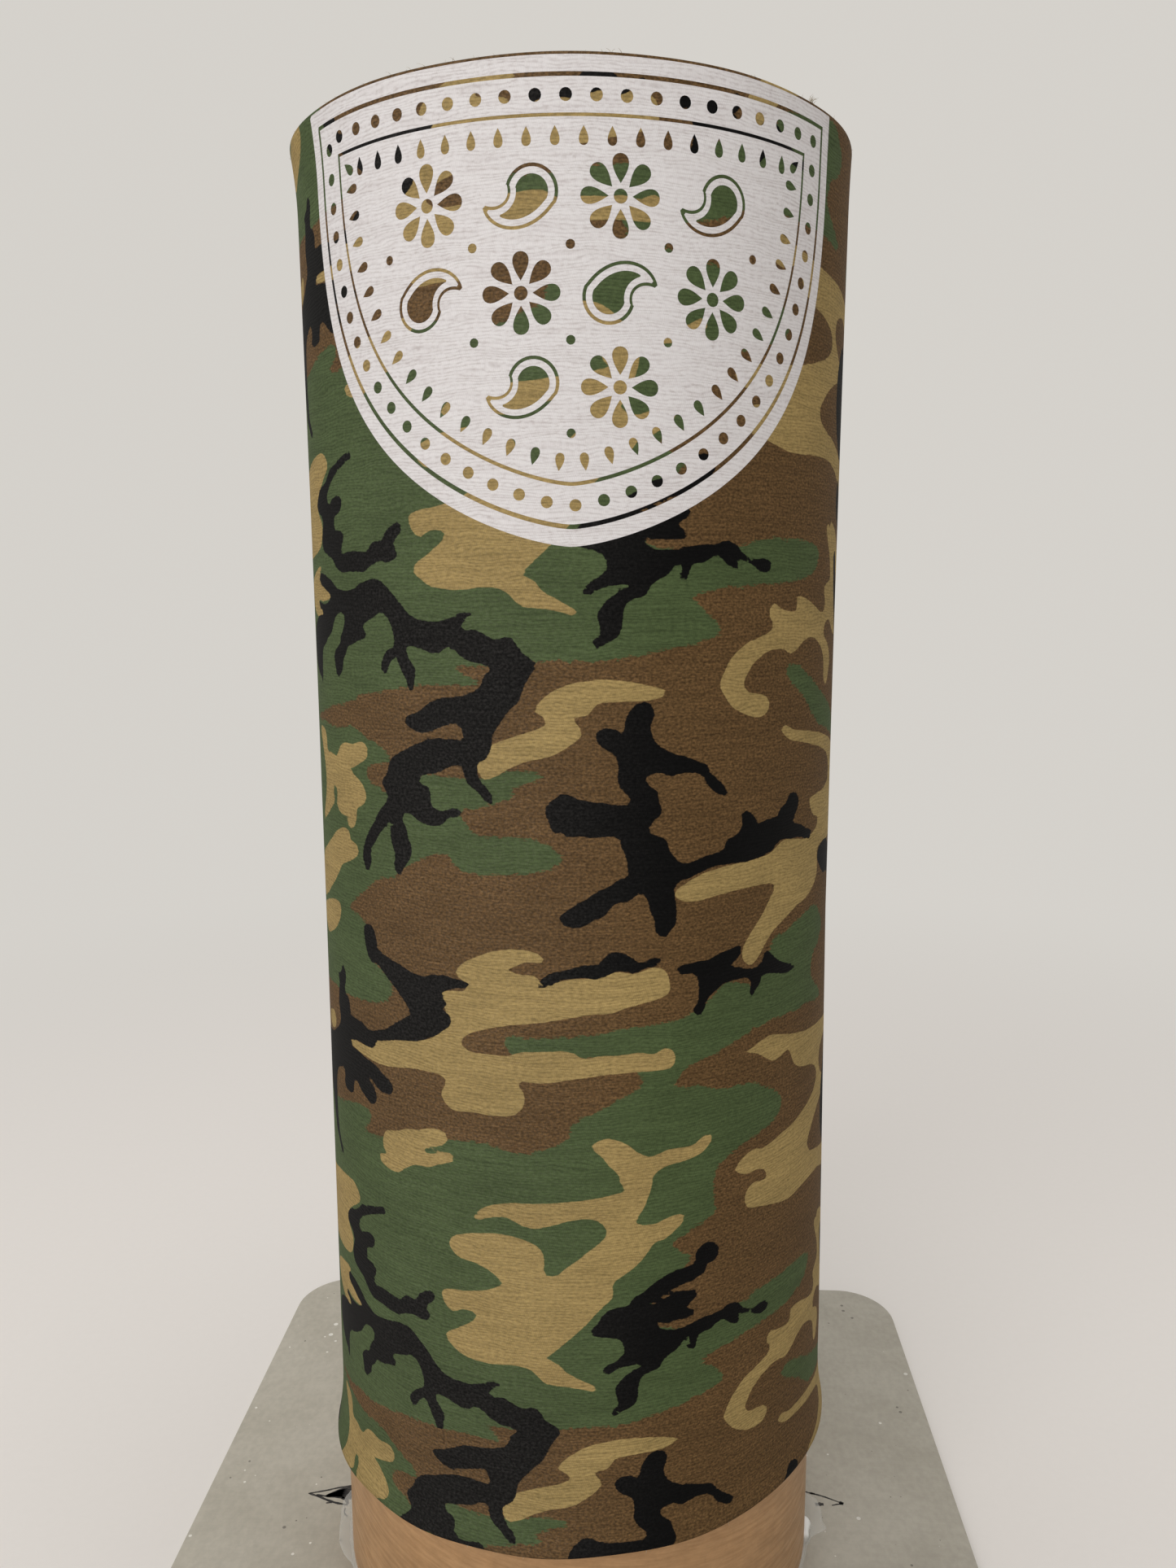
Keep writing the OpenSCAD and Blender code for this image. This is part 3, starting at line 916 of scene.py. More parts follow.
BLACK_SHAPES = (
    # The claw at the lower left
    Patch((
        (-70, 339.2), (-78, 342), (-83, 343.5), (-87, 347), (-93, 349.2), (-95.5, 351.2), (-97, 354),
        (-95.5, 356), (-92.5, 357.2), (-91, 359.5), (-92, 362.5), (-92.8, 365), (-91.5, 368),
        (-88, 369.5), (-83.5, 371), (-81, 373.5), (-77, 375.2), (-72, 374.8), (-64.5, 375.2),
        (-61, 373.5), (-57, 372.2), (-53, 372.5), (-50, 371.5), (-49, 369.8), (-50.5, 368.3),
        (-50.2, 366.5), (-48, 364.5), (-47, 362.5), (-48, 360.8), (-50, 361.5), (-53.5, 363.5),
        (-55.5, 366.2), (-59, 366.2), (-61, 367.5), (-63, 369.2), (-68, 369), (-72, 368.8),
        (-76.5, 369.5), (-76.8, 367.5), (-75.2, 365), (-75.8, 362.8), (-78.5, 362.2), (-80.8, 362.2),
        (-81, 360), (-80.5, 358), (-77.5, 357), (-75.5, 354.5), (-76, 352.5), (-79, 351.8),
        (-82, 352.8), (-84.5, 354), (-86.2, 352.8), (-85.8, 350.5), (-83, 348), (-78, 345),
        (-72, 342.5), (-69, 341.2),
    )),
    # The branch at the upper left
    Patch((
        (-103.7, 135), (-102, 133), (-97, 133.5), (-92, 135), (-89, 136.5), (-84, 138.5), (-79, 138.8),
        (-74, 137.5), (-70, 136), (-65.5, 135.3), (-61.5, 136.2), (-58, 139), (-54, 142.5),
        (-50, 146.2), (-44, 147.8), (-37, 147), (-33, 145.2), (-30.2, 145), (-29.5, 146.2),
        (-33, 148.5), (-31.5, 150.3), (-28, 150), (-25, 151.5), (-22, 152.8), (-18.5, 152),
        (-16.5, 153.2), (-15.5, 155), (-13.5, 157), (-10.5, 159), (-10.5, 161), (-12, 163),
        (-13.5, 165.5), (-14.5, 168), (-16, 171), (-19, 174), (-21.5, 177), (-23.5, 180.5), (-24, 184),
        (-25.5, 187), (-28, 189), (-28.2, 191.5), (-27, 194.5), (-24.5, 197), (-23.7, 199),
        (-24.2, 200.5), (-26, 200), (-28.5, 197), (-31.5, 195), (-32.8, 192.5), (-33, 189.7),
        (-36, 189.5), (-38.5, 191), (-42, 192.2), (-46, 193), (-48.5, 194.5), (-47.5, 196.2),
        (-45, 196.8), (-44.2, 199), (-44.2, 201.5), (-42.5, 203.2), (-39, 203.2), (-36, 202.5),
        (-33.8, 203.5), (-34, 204.8), (-37.5, 205.5), (-40, 207.5), (-43, 208.2), (-47, 208),
        (-50, 206.8), (-52, 205.5), (-54, 205.5), (-55.5, 207), (-55.2, 209), (-53.8, 210.5),
        (-53.2, 213.5), (-51.8, 215.5), (-52.5, 218.5), (-54, 221), (-55.5, 223), (-56.5, 225.2),
        (-59, 224.5), (-59.8, 222), (-59, 219), (-60.2, 216), (-61, 213), (-60.5, 210.5), (-59, 208.8),
        (-60.8, 208.8), (-63, 210.5), (-66, 213.5), (-68.5, 216.5), (-70.8, 219), (-70.5, 222),
        (-71.5, 225), (-73, 226.2), (-74.5, 225.2), (-75.2, 222), (-74.5, 218.5), (-72.8, 215),
        (-69, 210.5), (-65.5, 206), (-62, 202.2), (-61.5, 200.5), (-63.5, 198.5), (-64, 196.5),
        (-61.5, 193.5), (-60.5, 190.5), (-58, 188.2), (-53, 185.8), (-48, 183.5), (-42, 182),
        (-36, 182), (-32.7, 182.2), (-33, 180), (-34, 177.5), (-37, 177.5), (-41, 179), (-45, 180.2),
        (-48.5, 180.5), (-52, 179), (-53.7, 177.2), (-52.5, 175.8), (-48, 174.2), (-44, 171.5),
        (-39, 169.8), (-34, 169.2), (-29, 167.8), (-26.5, 165.5), (-26.2, 163.5), (-23.5, 161),
        (-24.5, 160.2), (-29, 159.5), (-33, 157.8), (-36, 155.5), (-38.2, 155.5), (-40, 157),
        (-43, 156.8), (-47, 155.8), (-51.5, 155), (-51.8, 157.5), (-50.5, 159.5), (-48.5, 162),
        (-49.2, 164.5), (-49.5, 167.5), (-51.5, 167.8), (-52.5, 165), (-54, 163), (-55.5, 160),
        (-56.5, 158.5), (-59, 160.5), (-60.5, 163.2), (-62.5, 163.2), (-62.8, 160.5), (-60.5, 157),
        (-57.5, 155.5), (-56.8, 153.5), (-57.5, 150.5), (-58.5, 148), (-61, 145.8), (-63, 145.5),
        (-65.5, 146.8), (-69, 148), (-71.2, 149), (-70.8, 150.5), (-69.2, 152), (-70.5, 153.3),
        (-73, 153.7), (-76.5, 155), (-80, 155.8), (-82, 158.5), (-83.8, 160), (-84.2, 163),
        (-87, 165.5), (-89, 165.8), (-89.8, 162.5), (-90.8, 159.5), (-89, 157), (-85.5, 155),
        (-85, 153), (-82.5, 149.5), (-82, 146.8), (-83.5, 145.5), (-87, 146), (-89.5, 148),
        (-92, 151.2), (-97, 154.5), (-101, 156.5), (-103, 158.5), (-103.8, 163), (-103.8, 168),
        (-105, 168.8), (-106.2, 167), (-110, 166), (-116, 162), (-119, 157), (-116, 151), (-108, 147),
        (-104, 146.5), (-100.5, 146.2), (-102, 144.5), (-105, 144), (-106, 142.5), (-104, 141.8),
        (-100, 142.8), (-96, 142.5), (-92, 141.5), (-90.5, 140.8), (-92, 140), (-97, 138),
        (-101.5, 136.8),
    )),
    # The figure right of the middle
    Patch((
        (18, 171.5), (21.5, 170.7), (23.5, 172), (24, 174.5), (23, 177.5), (23, 179), (24.2, 182),
        (26, 184), (30, 186), (33, 186.8), (38, 188.8), (41.2, 190), (42, 192.2), (45, 194.8),
        (48, 197.5), (48.8, 198.7), (47.5, 199.7), (44.5, 198.8), (42, 196.5), (40.5, 195.2),
        (39.8, 193.5), (37.5, 192.2), (33, 192.2), (29, 192.8), (26, 191.5), (22.5, 192.2),
        (21.5, 193.5), (22, 195.2), (24.2, 196.2), (25.5, 198), (25.2, 200), (26.5, 202), (26, 204),
        (24, 205.5), (22.5, 208), (23, 209.3), (26, 210.5), (28, 212), (28.8, 214.5), (31, 217.5),
        (32.5, 219), (37, 218.8), (41, 217.5), (47, 216.5), (48.5, 213.5), (51.5, 212.5), (53.5, 211.2),
        (54.5, 209), (54.2, 206.2), (56, 205.3), (58, 206.2), (59.5, 207), (60.2, 209.3), (63, 209.3),
        (67, 208.8), (70, 208.8), (71.5, 206.5), (74.5, 205), (76.2, 202.8), (78, 202), (81, 202.8),
        (82.7, 205.2), (81.8, 208), (79.5, 210.5), (79.5, 212.2), (84, 213), (88, 215), (92.8, 216.5),
        (92.5, 218.5), (90, 218.8), (84, 217.5), (78, 217), (74, 216.3), (71, 217), (68, 219),
        (64, 220.3), (58, 221), (52, 221), (45, 221), (40, 222), (36.5, 223.5), (32.5, 224.5),
        (31, 226), (30.2, 227.5), (31, 230), (31.5, 235), (31, 237.5), (29, 239.8), (28, 241.2),
        (26.5, 241.3), (24.5, 239), (24.2, 236), (23, 233), (22.5, 230.5), (20.2, 227), (18.5, 227.8),
        (16.5, 229.5), (12.2, 230.2), (11, 231.5), (9, 234), (6, 234.8), (4.5, 236.2), (2, 237.2),
        (-2, 236.8), (-4, 234.5), (-2.5, 232.2), (2, 229.5), (4, 228), (9, 225.5), (13, 223),
        (16, 221.8), (15.5, 216), (14, 213), (13.5, 210.5), (11, 209.8), (6, 210.2), (2, 209.5),
        (-1.5, 210), (-3.5, 208.5), (-5.5, 208.8), (-6.5, 207.5), (-7.2, 205), (-8, 202.5),
        (-7.5, 200.5), (-5, 198), (-2, 197), (2, 198.8), (8, 199.8), (14, 200.5), (16.7, 200.5),
        (16.5, 198), (14.5, 196.5), (13, 194), (13.2, 190.5), (13, 187.5), (11.5, 185.5), (8.5, 183.7),
        (7, 182), (6.8, 180), (8.5, 178.3), (12.5, 178.2), (14.5, 179.7), (15.2, 177), (15.8, 174.5),
    )),
    # The runner at the lower right
    Patch((
        (43.5, 342.8), (46, 343.5), (47.7, 345.5), (47.5, 347.8), (46, 349.7), (43.5, 350.5),
        (42, 353.2), (39.5, 353.8), (37, 354.8), (32.5, 355.3), (29, 357), (25, 359), (23, 359.3),
        (23.2, 360), (26, 359.5), (29, 358.2), (33, 357.2), (36, 357.3), (39.8, 358.3), (39.5, 360.3),
        (37.5, 361.5), (35.8, 363.2), (38.5, 364.3), (38.8, 366), (37, 366.8), (32, 366.8), (28, 367),
        (25.7, 366.2), (27, 368.5), (30, 369.7), (34, 369.7), (38, 369.2), (42, 368.3), (48, 368),
        (51, 367), (54, 367), (56.5, 368.5), (58.5, 370.5), (62, 371.8), (67, 371.8), (69.8, 372.5),
        (70.2, 374.5), (68, 375.8), (65.5, 375.5), (62, 373.7), (58, 372.2), (55.5, 371.8),
        (56.8, 374.5), (55, 374.7), (52, 373.3), (49.5, 371.3), (47, 371.8), (44.5, 373.2), (41, 373.5),
        (40, 375), (39.3, 378), (37.8, 378.5), (36.5, 377.2), (37.5, 375), (36.8, 373.5), (35, 374.5),
        (32.5, 377), (29, 379), (27.5, 381), (26.5, 382.5), (23, 383.5), (20.8, 385), (20, 388),
        (19.5, 392.5), (18, 394.5), (15, 396), (12.8, 397.3), (11.2, 396.8), (11.5, 395), (13.5, 393.5),
        (12.8, 390), (12.5, 387.5), (14, 385.5), (16, 383), (18.5, 381.5), (21.5, 380), (20.5, 379.3),
        (17, 379.8), (13, 380.8), (11, 382), (9.2, 382.2), (8.6, 380.8), (10.5, 378.8), (13.5, 377),
        (15.2, 375), (15.2, 372.5), (14, 370.8), (11, 369.7), (8, 369.2), (5.8, 369), (4.8, 367.2),
        (6.5, 364.8), (8.5, 362), (11.5, 359.8), (16.5, 359.3), (18, 357), (22, 354.7), (27, 351.5),
        (32, 349.7), (38, 349.2), (39.2, 347), (39.2, 345.2), (41, 343.5),
    )),
    # The dash and the twig at the middle
    Patch((
        (-11.2, 255.2), (-9, 252.5), (-5.5, 250.8), (2, 249), (7, 248.3), (9, 246.5), (12, 244.8),
        (15.5, 245.5), (17.5, 247), (20, 248.3), (25, 247.2), (26.7, 248.5), (25, 250), (22, 250.3),
        (19.5, 251.5), (17, 251.8), (15, 251), (12, 251.2), (9, 252.2), (6, 253), (2, 252.5),
        (-4, 253.5), (-7, 255), (-9.5, 255.7),
    )),
    Patch((
        (31.8, 251.3), (34, 250.5), (42, 250), (46, 248.8), (51, 247.8), (53.5, 247.2), (55, 248),
        (54.5, 250), (53, 251.5), (51, 253.2), (49.5, 254.2), (53, 254), (56, 255), (59, 255.8),
        (62, 255.3), (64.5, 254), (65, 252.2), (65.8, 251.3), (67.5, 251.5), (69.5, 253.5), (72, 255.3),
        (75, 256.8), (79, 258.3), (83.8, 259.7), (82, 260.7), (78, 261.3), (74, 260.5), (69.5, 259.3),
        (66, 259), (64, 259.5), (63.5, 261.2), (61.5, 263), (60.8, 264.8), (59, 264.5), (58.8, 262.5),
        (59.2, 260), (58, 258.5), (55, 258.3), (51, 258), (48, 258.5), (45, 260.3), (42.5, 262.2),
        (41.2, 265), (40, 267), (37.5, 266.5), (37.2, 264.8), (39, 262.5), (39.2, 259), (38.8, 256),
        (38, 253.5), (35, 253.7), (32, 253),
    )),
    # The boot and the splash at the left
    Patch((
        (-76.2, 245), (-74.5, 243.8), (-72, 243.8), (-70, 245.5), (-69.2, 248.5), (-69, 251),
        (-66, 251.8), (-62, 253.2), (-57, 254.2), (-52, 255.8), (-48, 255.8), (-43, 254.5),
        (-35, 255.2), (-32.3, 256.2), (-34, 257.8), (-37, 258), (-39.5, 259), (-41.7, 260),
        (-41.5, 262), (-40.2, 263.5), (-41.7, 265.5), (-39.5, 267), (-38.8, 269), (-40, 271),
        (-43, 273.2), (-46, 275), (-49, 276.5), (-53, 277.8), (-58, 278.7), (-62, 279.5), (-66, 281),
        (-70, 281.8), (-71.5, 283.5), (-73, 285), (-78, 285.5), (-84, 285.7), (-89, 287.2),
        (-87.5, 288.5), (-82, 289), (-72, 290.5), (-68, 292.5), (-64.5, 294), (-62.8, 295.8),
        (-64, 298), (-67, 298.8), (-70.5, 298.2), (-76.5, 295.5), (-72, 300), (-72, 303), (-74, 304.8),
        (-76.5, 304.5), (-80, 303), (-83, 300.5), (-85.5, 300), (-86.8, 302.5), (-87.5, 305),
        (-91, 306), (-94, 305.5), (-95.5, 304), (-94.5, 301.5), (-95.5, 299), (-99, 300), (-102, 301.5),
        (-104, 303.5), (-105.5, 307), (-106, 312), (-106, 318), (-104.5, 325), (-102, 328.5),
        (-99, 331.5), (-101.5, 332.5), (-105, 329), (-109, 326), (-112, 320), (-118, 312), (-128, 306),
        (-136, 300), (-128, 294), (-112, 291), (-107, 289.5), (-103.5, 288), (-100.5, 286), (-98, 284),
        (-97.5, 281), (-98.5, 277), (-98, 272), (-97.2, 268.5), (-98.7, 266.8), (-97, 265.8),
        (-94.8, 265), (-94, 262.5), (-92.8, 262), (-91, 263.5), (-90.8, 266.5), (-91.8, 269.5),
        (-91, 271.5), (-88.5, 272.5), (-87.7, 275.5), (-88, 277.8), (-84, 278), (-78, 278),
        (-76, 279.2), (-72, 279), (-68, 277.5), (-64, 275.5), (-58.5, 272), (-55, 269.8),
        (-54.2, 268.8), (-56, 266.5), (-59.5, 263), (-62, 260.8), (-65.5, 258.5), (-69, 255.8),
        (-71, 256.5), (-73, 255.5), (-75, 253), (-75.8, 249.5),
    )),
    # The twig round the side
    Patch((
        (132, 328), (139, 323.5), (146, 318), (149, 310.5), (153, 309), (155, 313.5), (151, 320.5),
        (155, 325.5), (163, 328), (164, 331), (157, 332), (149, 329), (143, 332), (141, 338),
        (137, 338.5), (137, 331.5),
    )),
    # What runs round the right edge
    Patch((
        (116, 61), (110.5, 65.5), (107.4, 72.5), (106.8, 79.5), (108.2, 86.5), (112, 92.5), (118, 96.5),
        (126, 92), (130, 82), (127, 70), (122, 63),
    )),
    Stroke(((116, 104.5, 1.6), (117, 110, 4.4), (119.5, 117, 2.4))),
    Stroke(((113.5, 128, 2.2), (116.5, 138, 2.8), (121, 146, 3.6), (124, 156, 2))),
    Stroke(((103, 226.5, 3.2), (110, 228.3, 5.8), (117, 230, 5), (125, 235, 3.6), (133, 243, 2))),
)


@dataclass
class CamoPattern:
    """Woodland camouflage that repeats on a slanted lattice round the gaiter."""

    girth: float  # Length once round the fabric, in millimetres like the other sizes
    repeat: float = 242.0  # Height of one repeat
    lean: float = 5.5  # Move to the right from a repeat to the one below it
    columns: int = 3  # Half-dropped columns of repeats to each side
    rows: int = 4  # Repeats above and below in each column
    margin: float = 7.0  # Distance up to which an edge is worked out
    fillet: float = 1.2  # Size of the fillet where two shapes of one layer meet
    # Where below the top hem the print starts to be drawn aside, and where it is so fully
    drawn: Pair = (376.0, 440.0)
    drawn_left: float = 3.8  # Pull to the left there
    drawn_up: Pair = (0.6, 4.2)  # Pull upwards there, and how much more on the right
    # The shapes of each layer
    shapes: dict[Layer, tuple[Stroke | Patch, ...]] = field(
        default_factory=lambda: {
            Layer.GREEN: GREEN_SHAPES,
            Layer.TAN: TAN_SHAPES,
            Layer.BLACK: BLACK_SHAPES,
        }
    )

    def shifts(self) -> list[Array]:
        """List the moves from one repeat to the others; half-dropped ones close the pattern.

        Returns:
            How far around and down each one is.
        """
        down = np.array([self.lean, self.repeat])
        across = np.array([(self.girth + self.lean) / 2, self.repeat / 2])
        columns = range(-self.columns, self.columns + 1)
        rows = range(-self.rows, self.rows + 1)
        return [i * across + j * down for i in columns for j in rows]

    def relaxed(self, places: Array) -> Array:
        """Find where places were before the print was drawn aside near the bottom hem.

        Args:
            places: Around and down of each place.

        Returns:
            Around and down of each before that.
        """
        around, down = places.T
        start, end = self.drawn
        share = np.clip((down - start) / (end - start), 0.0, 1.0)
        turn = 2 * math.pi * around / self.girth
        left = self.drawn_left * np.clip(-np.sin(turn), 0.0, 1.0) * np.sqrt(share)
        everywhere, right = self.drawn_up
        up = (everywhere + right * np.sqrt(np.clip(np.sin(turn), 0.0, 1.0))) * share
        return np.stack([around + left, down + up], axis=-1)

    def distance(self, layer: Layer, places: Array) -> Array:
        """Measure how far places lie from a layer's edge.

        Args:
            layer: The printed layer.
            places: Around and down of each place.

        Returns:
            One distance per place, below 0 inside the layer.
        """
        places = self.relaxed(places)
        result = np.full(len(places), self.margin)
        lowest, highest = places.min(0), places.max(0)
        for shape in self.shapes[layer]:
            start, end = shape.reach()
            for shift in self.shifts():
                low, high = start + shift - self.margin, end + shift + self.margin
                if (low > highest).any() or (high < lowest).any():
                    continue
                near = (places > low).all(1) & (places < high).all(1)
                if near.any():
                    found = shape.distance(places[near] - shift)
                    known = result[near]
                    round_off = np.clip(self.fillet - np.abs(found - known), 0.0, None)
                    result[near] = np.minimum(found, known) - round_off**2 / (4 * self.fillet)
        return result


@dataclass
class Gaiter:
    """The knitted tube: a closed double wall of fabric with two hems that curl outwards."""

    fabric_thickness: float = 0.7  # Thickness of the knit, in millimetres like the other sizes
    slack: float = 0.3  # Gap between the tube and the fabric
    hem_height: float = 54.8  # Mean height of the bottom hem above the plate
    # Its rise at the front, at the front and back, and at the right
    hem_lifts: tuple[float, float, float] = (3.75, 0.96, 3.5)
    hem_ripples: tuple[Ripple, ...] = (Ripple(0.25, 7, 1.0), Ripple(0.2, 13))  # Small waves along it
    hem_round: float = 0.25  # How far a hem's round edge stands past its faces
    top_curl: float = 20.0  # Height of the top hem's curl
    bottom_curl: float = 24.0  # Height of the bottom hem's curl
    curl_end: float = 1.2  # Largest part of a curl, reached past the hem, where it is 1
    top_flare: Pair = (0.9, 0.6)  # How far the top hem stands out, and how much more at the left
    bottom_flare: Pair = (3.2, 0.6)  # How far the bottom hem stands out, and how much more at the right
    bottom_taut: float = 1.8  # How much of that is pulled in again at the right
    # Waves in how far the hems stand out
    flare_ripples: tuple[Ripple, ...] = (Ripple(0.25, 5, 0.7), Ripple(0.15, 11, 2.1))
    # How far the fabric stands off at the top hem, and how far down that ends
    loose_top: Pair = (0.8, 170.0)
    loose_bottom: Pair = (0.3, 1.8)  # How far it stands off at the bottom, and how much more at the right
    loose_span: Pair = (250.0, 410.0)  # How far down that starts, and how far down it is full
    columns: int = 326  # Faces once round
    rows: int = 254  # Faces down the outside
    inner_rows: int = 24  # Faces up the inside
    relaxed: Pair = (0.482, 0.483)  # Girth and length off the form, in metres

    def __post_init__(self) -> None:
        """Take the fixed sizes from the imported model."""
        tube_low, tube_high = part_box("form_tube")
        self.radius = (tube_high.y - tube_low.y) / 2 / MM + self.slack + self.fabric_thickness
        self.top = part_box("gaiter")[1].z / MM
        self.plate_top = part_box("base_plate")[1].z / MM
        self.girth = 2 * math.pi * self.radius

    def bottom(self, angle: Array) -> Array:
        """Find the height of the bottom hem, which hangs a little askew.

        Args:
            angle: Angles round from the front, in radians.

        Returns:
            One height per angle.
        """
        front, ends, right = self.hem_lifts
        lift = self.hem_height + front * np.cos(angle) + ends * np.cos(2 * angle) + right * np.sin(angle)
        return sum((ripple.at(angle) for ripple in self.hem_ripples), self.plate_top + lift)

    def length(self, angle: Array) -> Array:
        """Length from hem to hem at an angle."""
        return self.top - self.bottom(angle)

    def surface(self, around: Array, down: Array, proud: float | Array = 0.0) -> Array:
        """Find places on the outside of the fabric.

        Args:
            around: Distance round from the front, in millimetres.
            down: Distance below the top hem.
            proud: Distance out from the outside.

        Returns:
            One row of coordinates per place, in metres.
        """
        angle = around / self.radius
        height = self.top - down
        to_right = np.sin(angle)
        right = np.clip(to_right, 0.0, 1.0) ** 2
        top_part = np.clip(1 - down / self.top_curl, 0.0, self.curl_end)
        above_hem = height - self.bottom(angle)
        bottom_part = np.clip(1 - above_hem / self.bottom_curl, 0.0, self.curl_end)
        ripple = sum(wave.at(angle) for wave in self.flare_ripples)
        flare, more_left = self.top_flare
        top_flare = flare - more_left * to_right + ripple
        flare, more_right = self.bottom_flare
        bottom_flare = flare + more_right * to_right + ripple - self.bottom_taut * right
        stand_off, reach = self.loose_top
        loose = stand_off * np.clip(1 - down / reach, 0.0, 1.0) ** 1.5
        stand_off, more_right = self.loose_bottom
        start, end = self.loose_span
        loose += (stand_off + more_right * right) * np.clip((down - start) / (end - start), 0.0, 1.0)
        radius = self.radius + proud + loose + top_flare * top_part**2 + bottom_flare * bottom_part**2.2
        turned = angle + FRONT_TURN
        return np.stack([radius * np.sin(turned), -radius * np.cos(turned), height], axis=-1) * MM

    def profile(self) -> list[tuple[float, float, float]]:
        """List the wall's closed section, down the outside and up the inside.

        Returns:
            Each point's share of the length, distance past the hem and depth below the outside.
        """
        thick = self.fabric_thickness
        outer = [(j / self.rows, 0.0, 0.0) for j in range(self.rows + 1)]
        inner = [(1 - j / self.inner_rows, 0.0, thick) for j in range(self.inner_rows + 1)]
        return [*outer, (1.0, self.hem_round, thick / 2), *inner, (0.0, -self.hem_round, thick / 2)]

    def wall(self) -> Piece:
        """Build the fabric with its own coordinates and the camouflage's distances.

        Returns:
            The fabric.
        """
        around = (np.arange(self.columns) / self.columns - 0.5) * self.girth
        angle = around / self.radius
        rings, fabric, printed = [], [], []
        for share, past, depth in self.profile():
            down = share * self.length(angle) + past
            rings.append(self.surface(around, down, -depth))
            fabric.append(np.stack([around, down], axis=-1))
            printed.append(np.full(self.columns, 1 - depth / self.fabric_thickness))
        fabric_places = np.vstack(fabric)
        count = len(rings)
        faces = []
        for j in range(count):
            upper, lower = j * self.columns, (j + 1) % count * self.columns
            for i in range(self.columns):
                following = (i + 1) % self.columns
                faces.append((upper + i, lower + i, lower + following, upper + following))
        piece = new_object("knit_tube", np.vstack(rings), faces)
        self.add_fabric_map(piece, fabric_places)
        pattern = CamoPattern(self.girth)
        for layer in Layer:
            add_values(piece, layer.value, pattern.distance(layer, fabric_places))
        add_values(piece, "printed", np.concatenate(printed))
        return piece

    def add_fabric_map(self, piece: Piece, fabric: Array) -> None:
        """Give a piece its fabric coordinates, unbroken across the line where the count starts again.

        Args:
            piece: The piece to map.
            fabric: Around and down of each vertex, in millimetres.
        """
        mesh = piece.data
        corners = np.empty(len(mesh.loops), dtype=np.int32)
        mesh.loops.foreach_get("vertex_index", corners)
        values = fabric[corners].copy()
        starts = np.empty(len(mesh.polygons), dtype=np.int32)
        mesh.polygons.foreach_get("loop_start", starts)
        face_of_corner = np.repeat(np.arange(len(starts)), np.diff([*starts, len(corners)]))
        widest = np.maximum.reduceat(values[:, 0], starts)[face_of_corner]
        values[widest - values[:, 0] > self.girth / 2, 0] += self.girth
        layer = mesh.uv_layers.new(name="fabric")
        layer.data.foreach_set("uv", values.astype(np.float32).ravel())


@dataclass
class YarnEnds:
    """Short loose ends of yarn along both raw hems, with a tuft of longer ones at the top."""

    count: int = 150  # Ends along both hems
    top_share: float = 0.6  # Share of them on the top hem
    length: Pair = (0.5, 1.8)  # Least and greatest length, in millimetres like the other sizes
    tuft_count: int = 16  # Ends in the tuft
    tuft_place: float = 78.0  # Where round the top hem the tuft stands
    tuft_spread: float = 0.7  # Usual spread of its ends
    tuft_length: Pair = (1.4, 3.2)  # Least and greatest length of its ends
    lean: float = 0.8  # Usual lean aside, as a share of the length
    outwards: float = 0.6  # Greatest bend outwards, as a share of the length
    thickness: Pair = (0.05, 0.09)  # Least and greatest radius
    root: float = 0.3  # Depth of the root below the fabric's outside
    points: int = 5  # Points along one end
    sides: int = 5  # Faces round one end
    seed: int = 7  # Start of the random numbers

    def build(self, gaiter: Gaiter) -> Piece:
        """Stand fine bent threads along the hems.

        Args:
            gaiter: The fabric that they stand on.

        Returns:
            All the threads as one piece.
        """
        rng = np.random.default_rng(self.seed)
        steps = np.linspace(0.0, 1.0, self.points)
        places, faces = [], []
        for number in range(self.count + self.tuft_count):
            in_tuft = number >= self.count
            at_top = in_tuft or rng.random() < self.top_share
            if in_tuft:
                around = rng.normal(self.tuft_place, self.tuft_spread)
            else:
                around = rng.uniform(-0.5, 0.5) * gaiter.girth
            hem = 0.0 if at_top else float(gaiter.length(np.array([around / gaiter.radius]))[0])
            length = rng.uniform(*(self.tuft_length if in_tuft else self.length))
            lean, outwards = rng.normal(0.0, self.lean), rng.uniform(0.0, self.outwards)
            path_around = around + lean * length * steps**1.5
            path_down = hem + (-1 if at_top else 1) * length * (steps - 0.35 * steps**2)
            path = gaiter.surface(path_around, path_down, outwards * length * steps**2 - self.root)
            thickness = rng.uniform(*self.thickness) * MM * (1 - 0.7 * steps)
            faces += swept_faces(len(places), self.points, self.sides)
            places += self.thread(path, thickness)
        return new_object("yarn_ends", np.array(places), faces)

    def thread(self, path: Array, thickness: Array) -> list[tuple[float, ...]]:
        """Set rings of points round a path.

        Args:
            path: Its points, in metres.
            thickness: Radius of the ring at each point.

        Returns:
            The points, ring after ring.
        """
        along = Vector(path[-1] - path[0]).normalized()
        across = along.orthogonal().normalized()
        over = along.cross(across)
        places = []
        for point, radius in zip(path.tolist(), thickness.tolist()):
            for k in range(self.sides):
                turn = 2 * math.pi * k / self.sides
                spoke = math.cos(turn) * across + math.sin(turn) * over
                places.append(tuple(Vector(point) + radius * spoke))
        return places


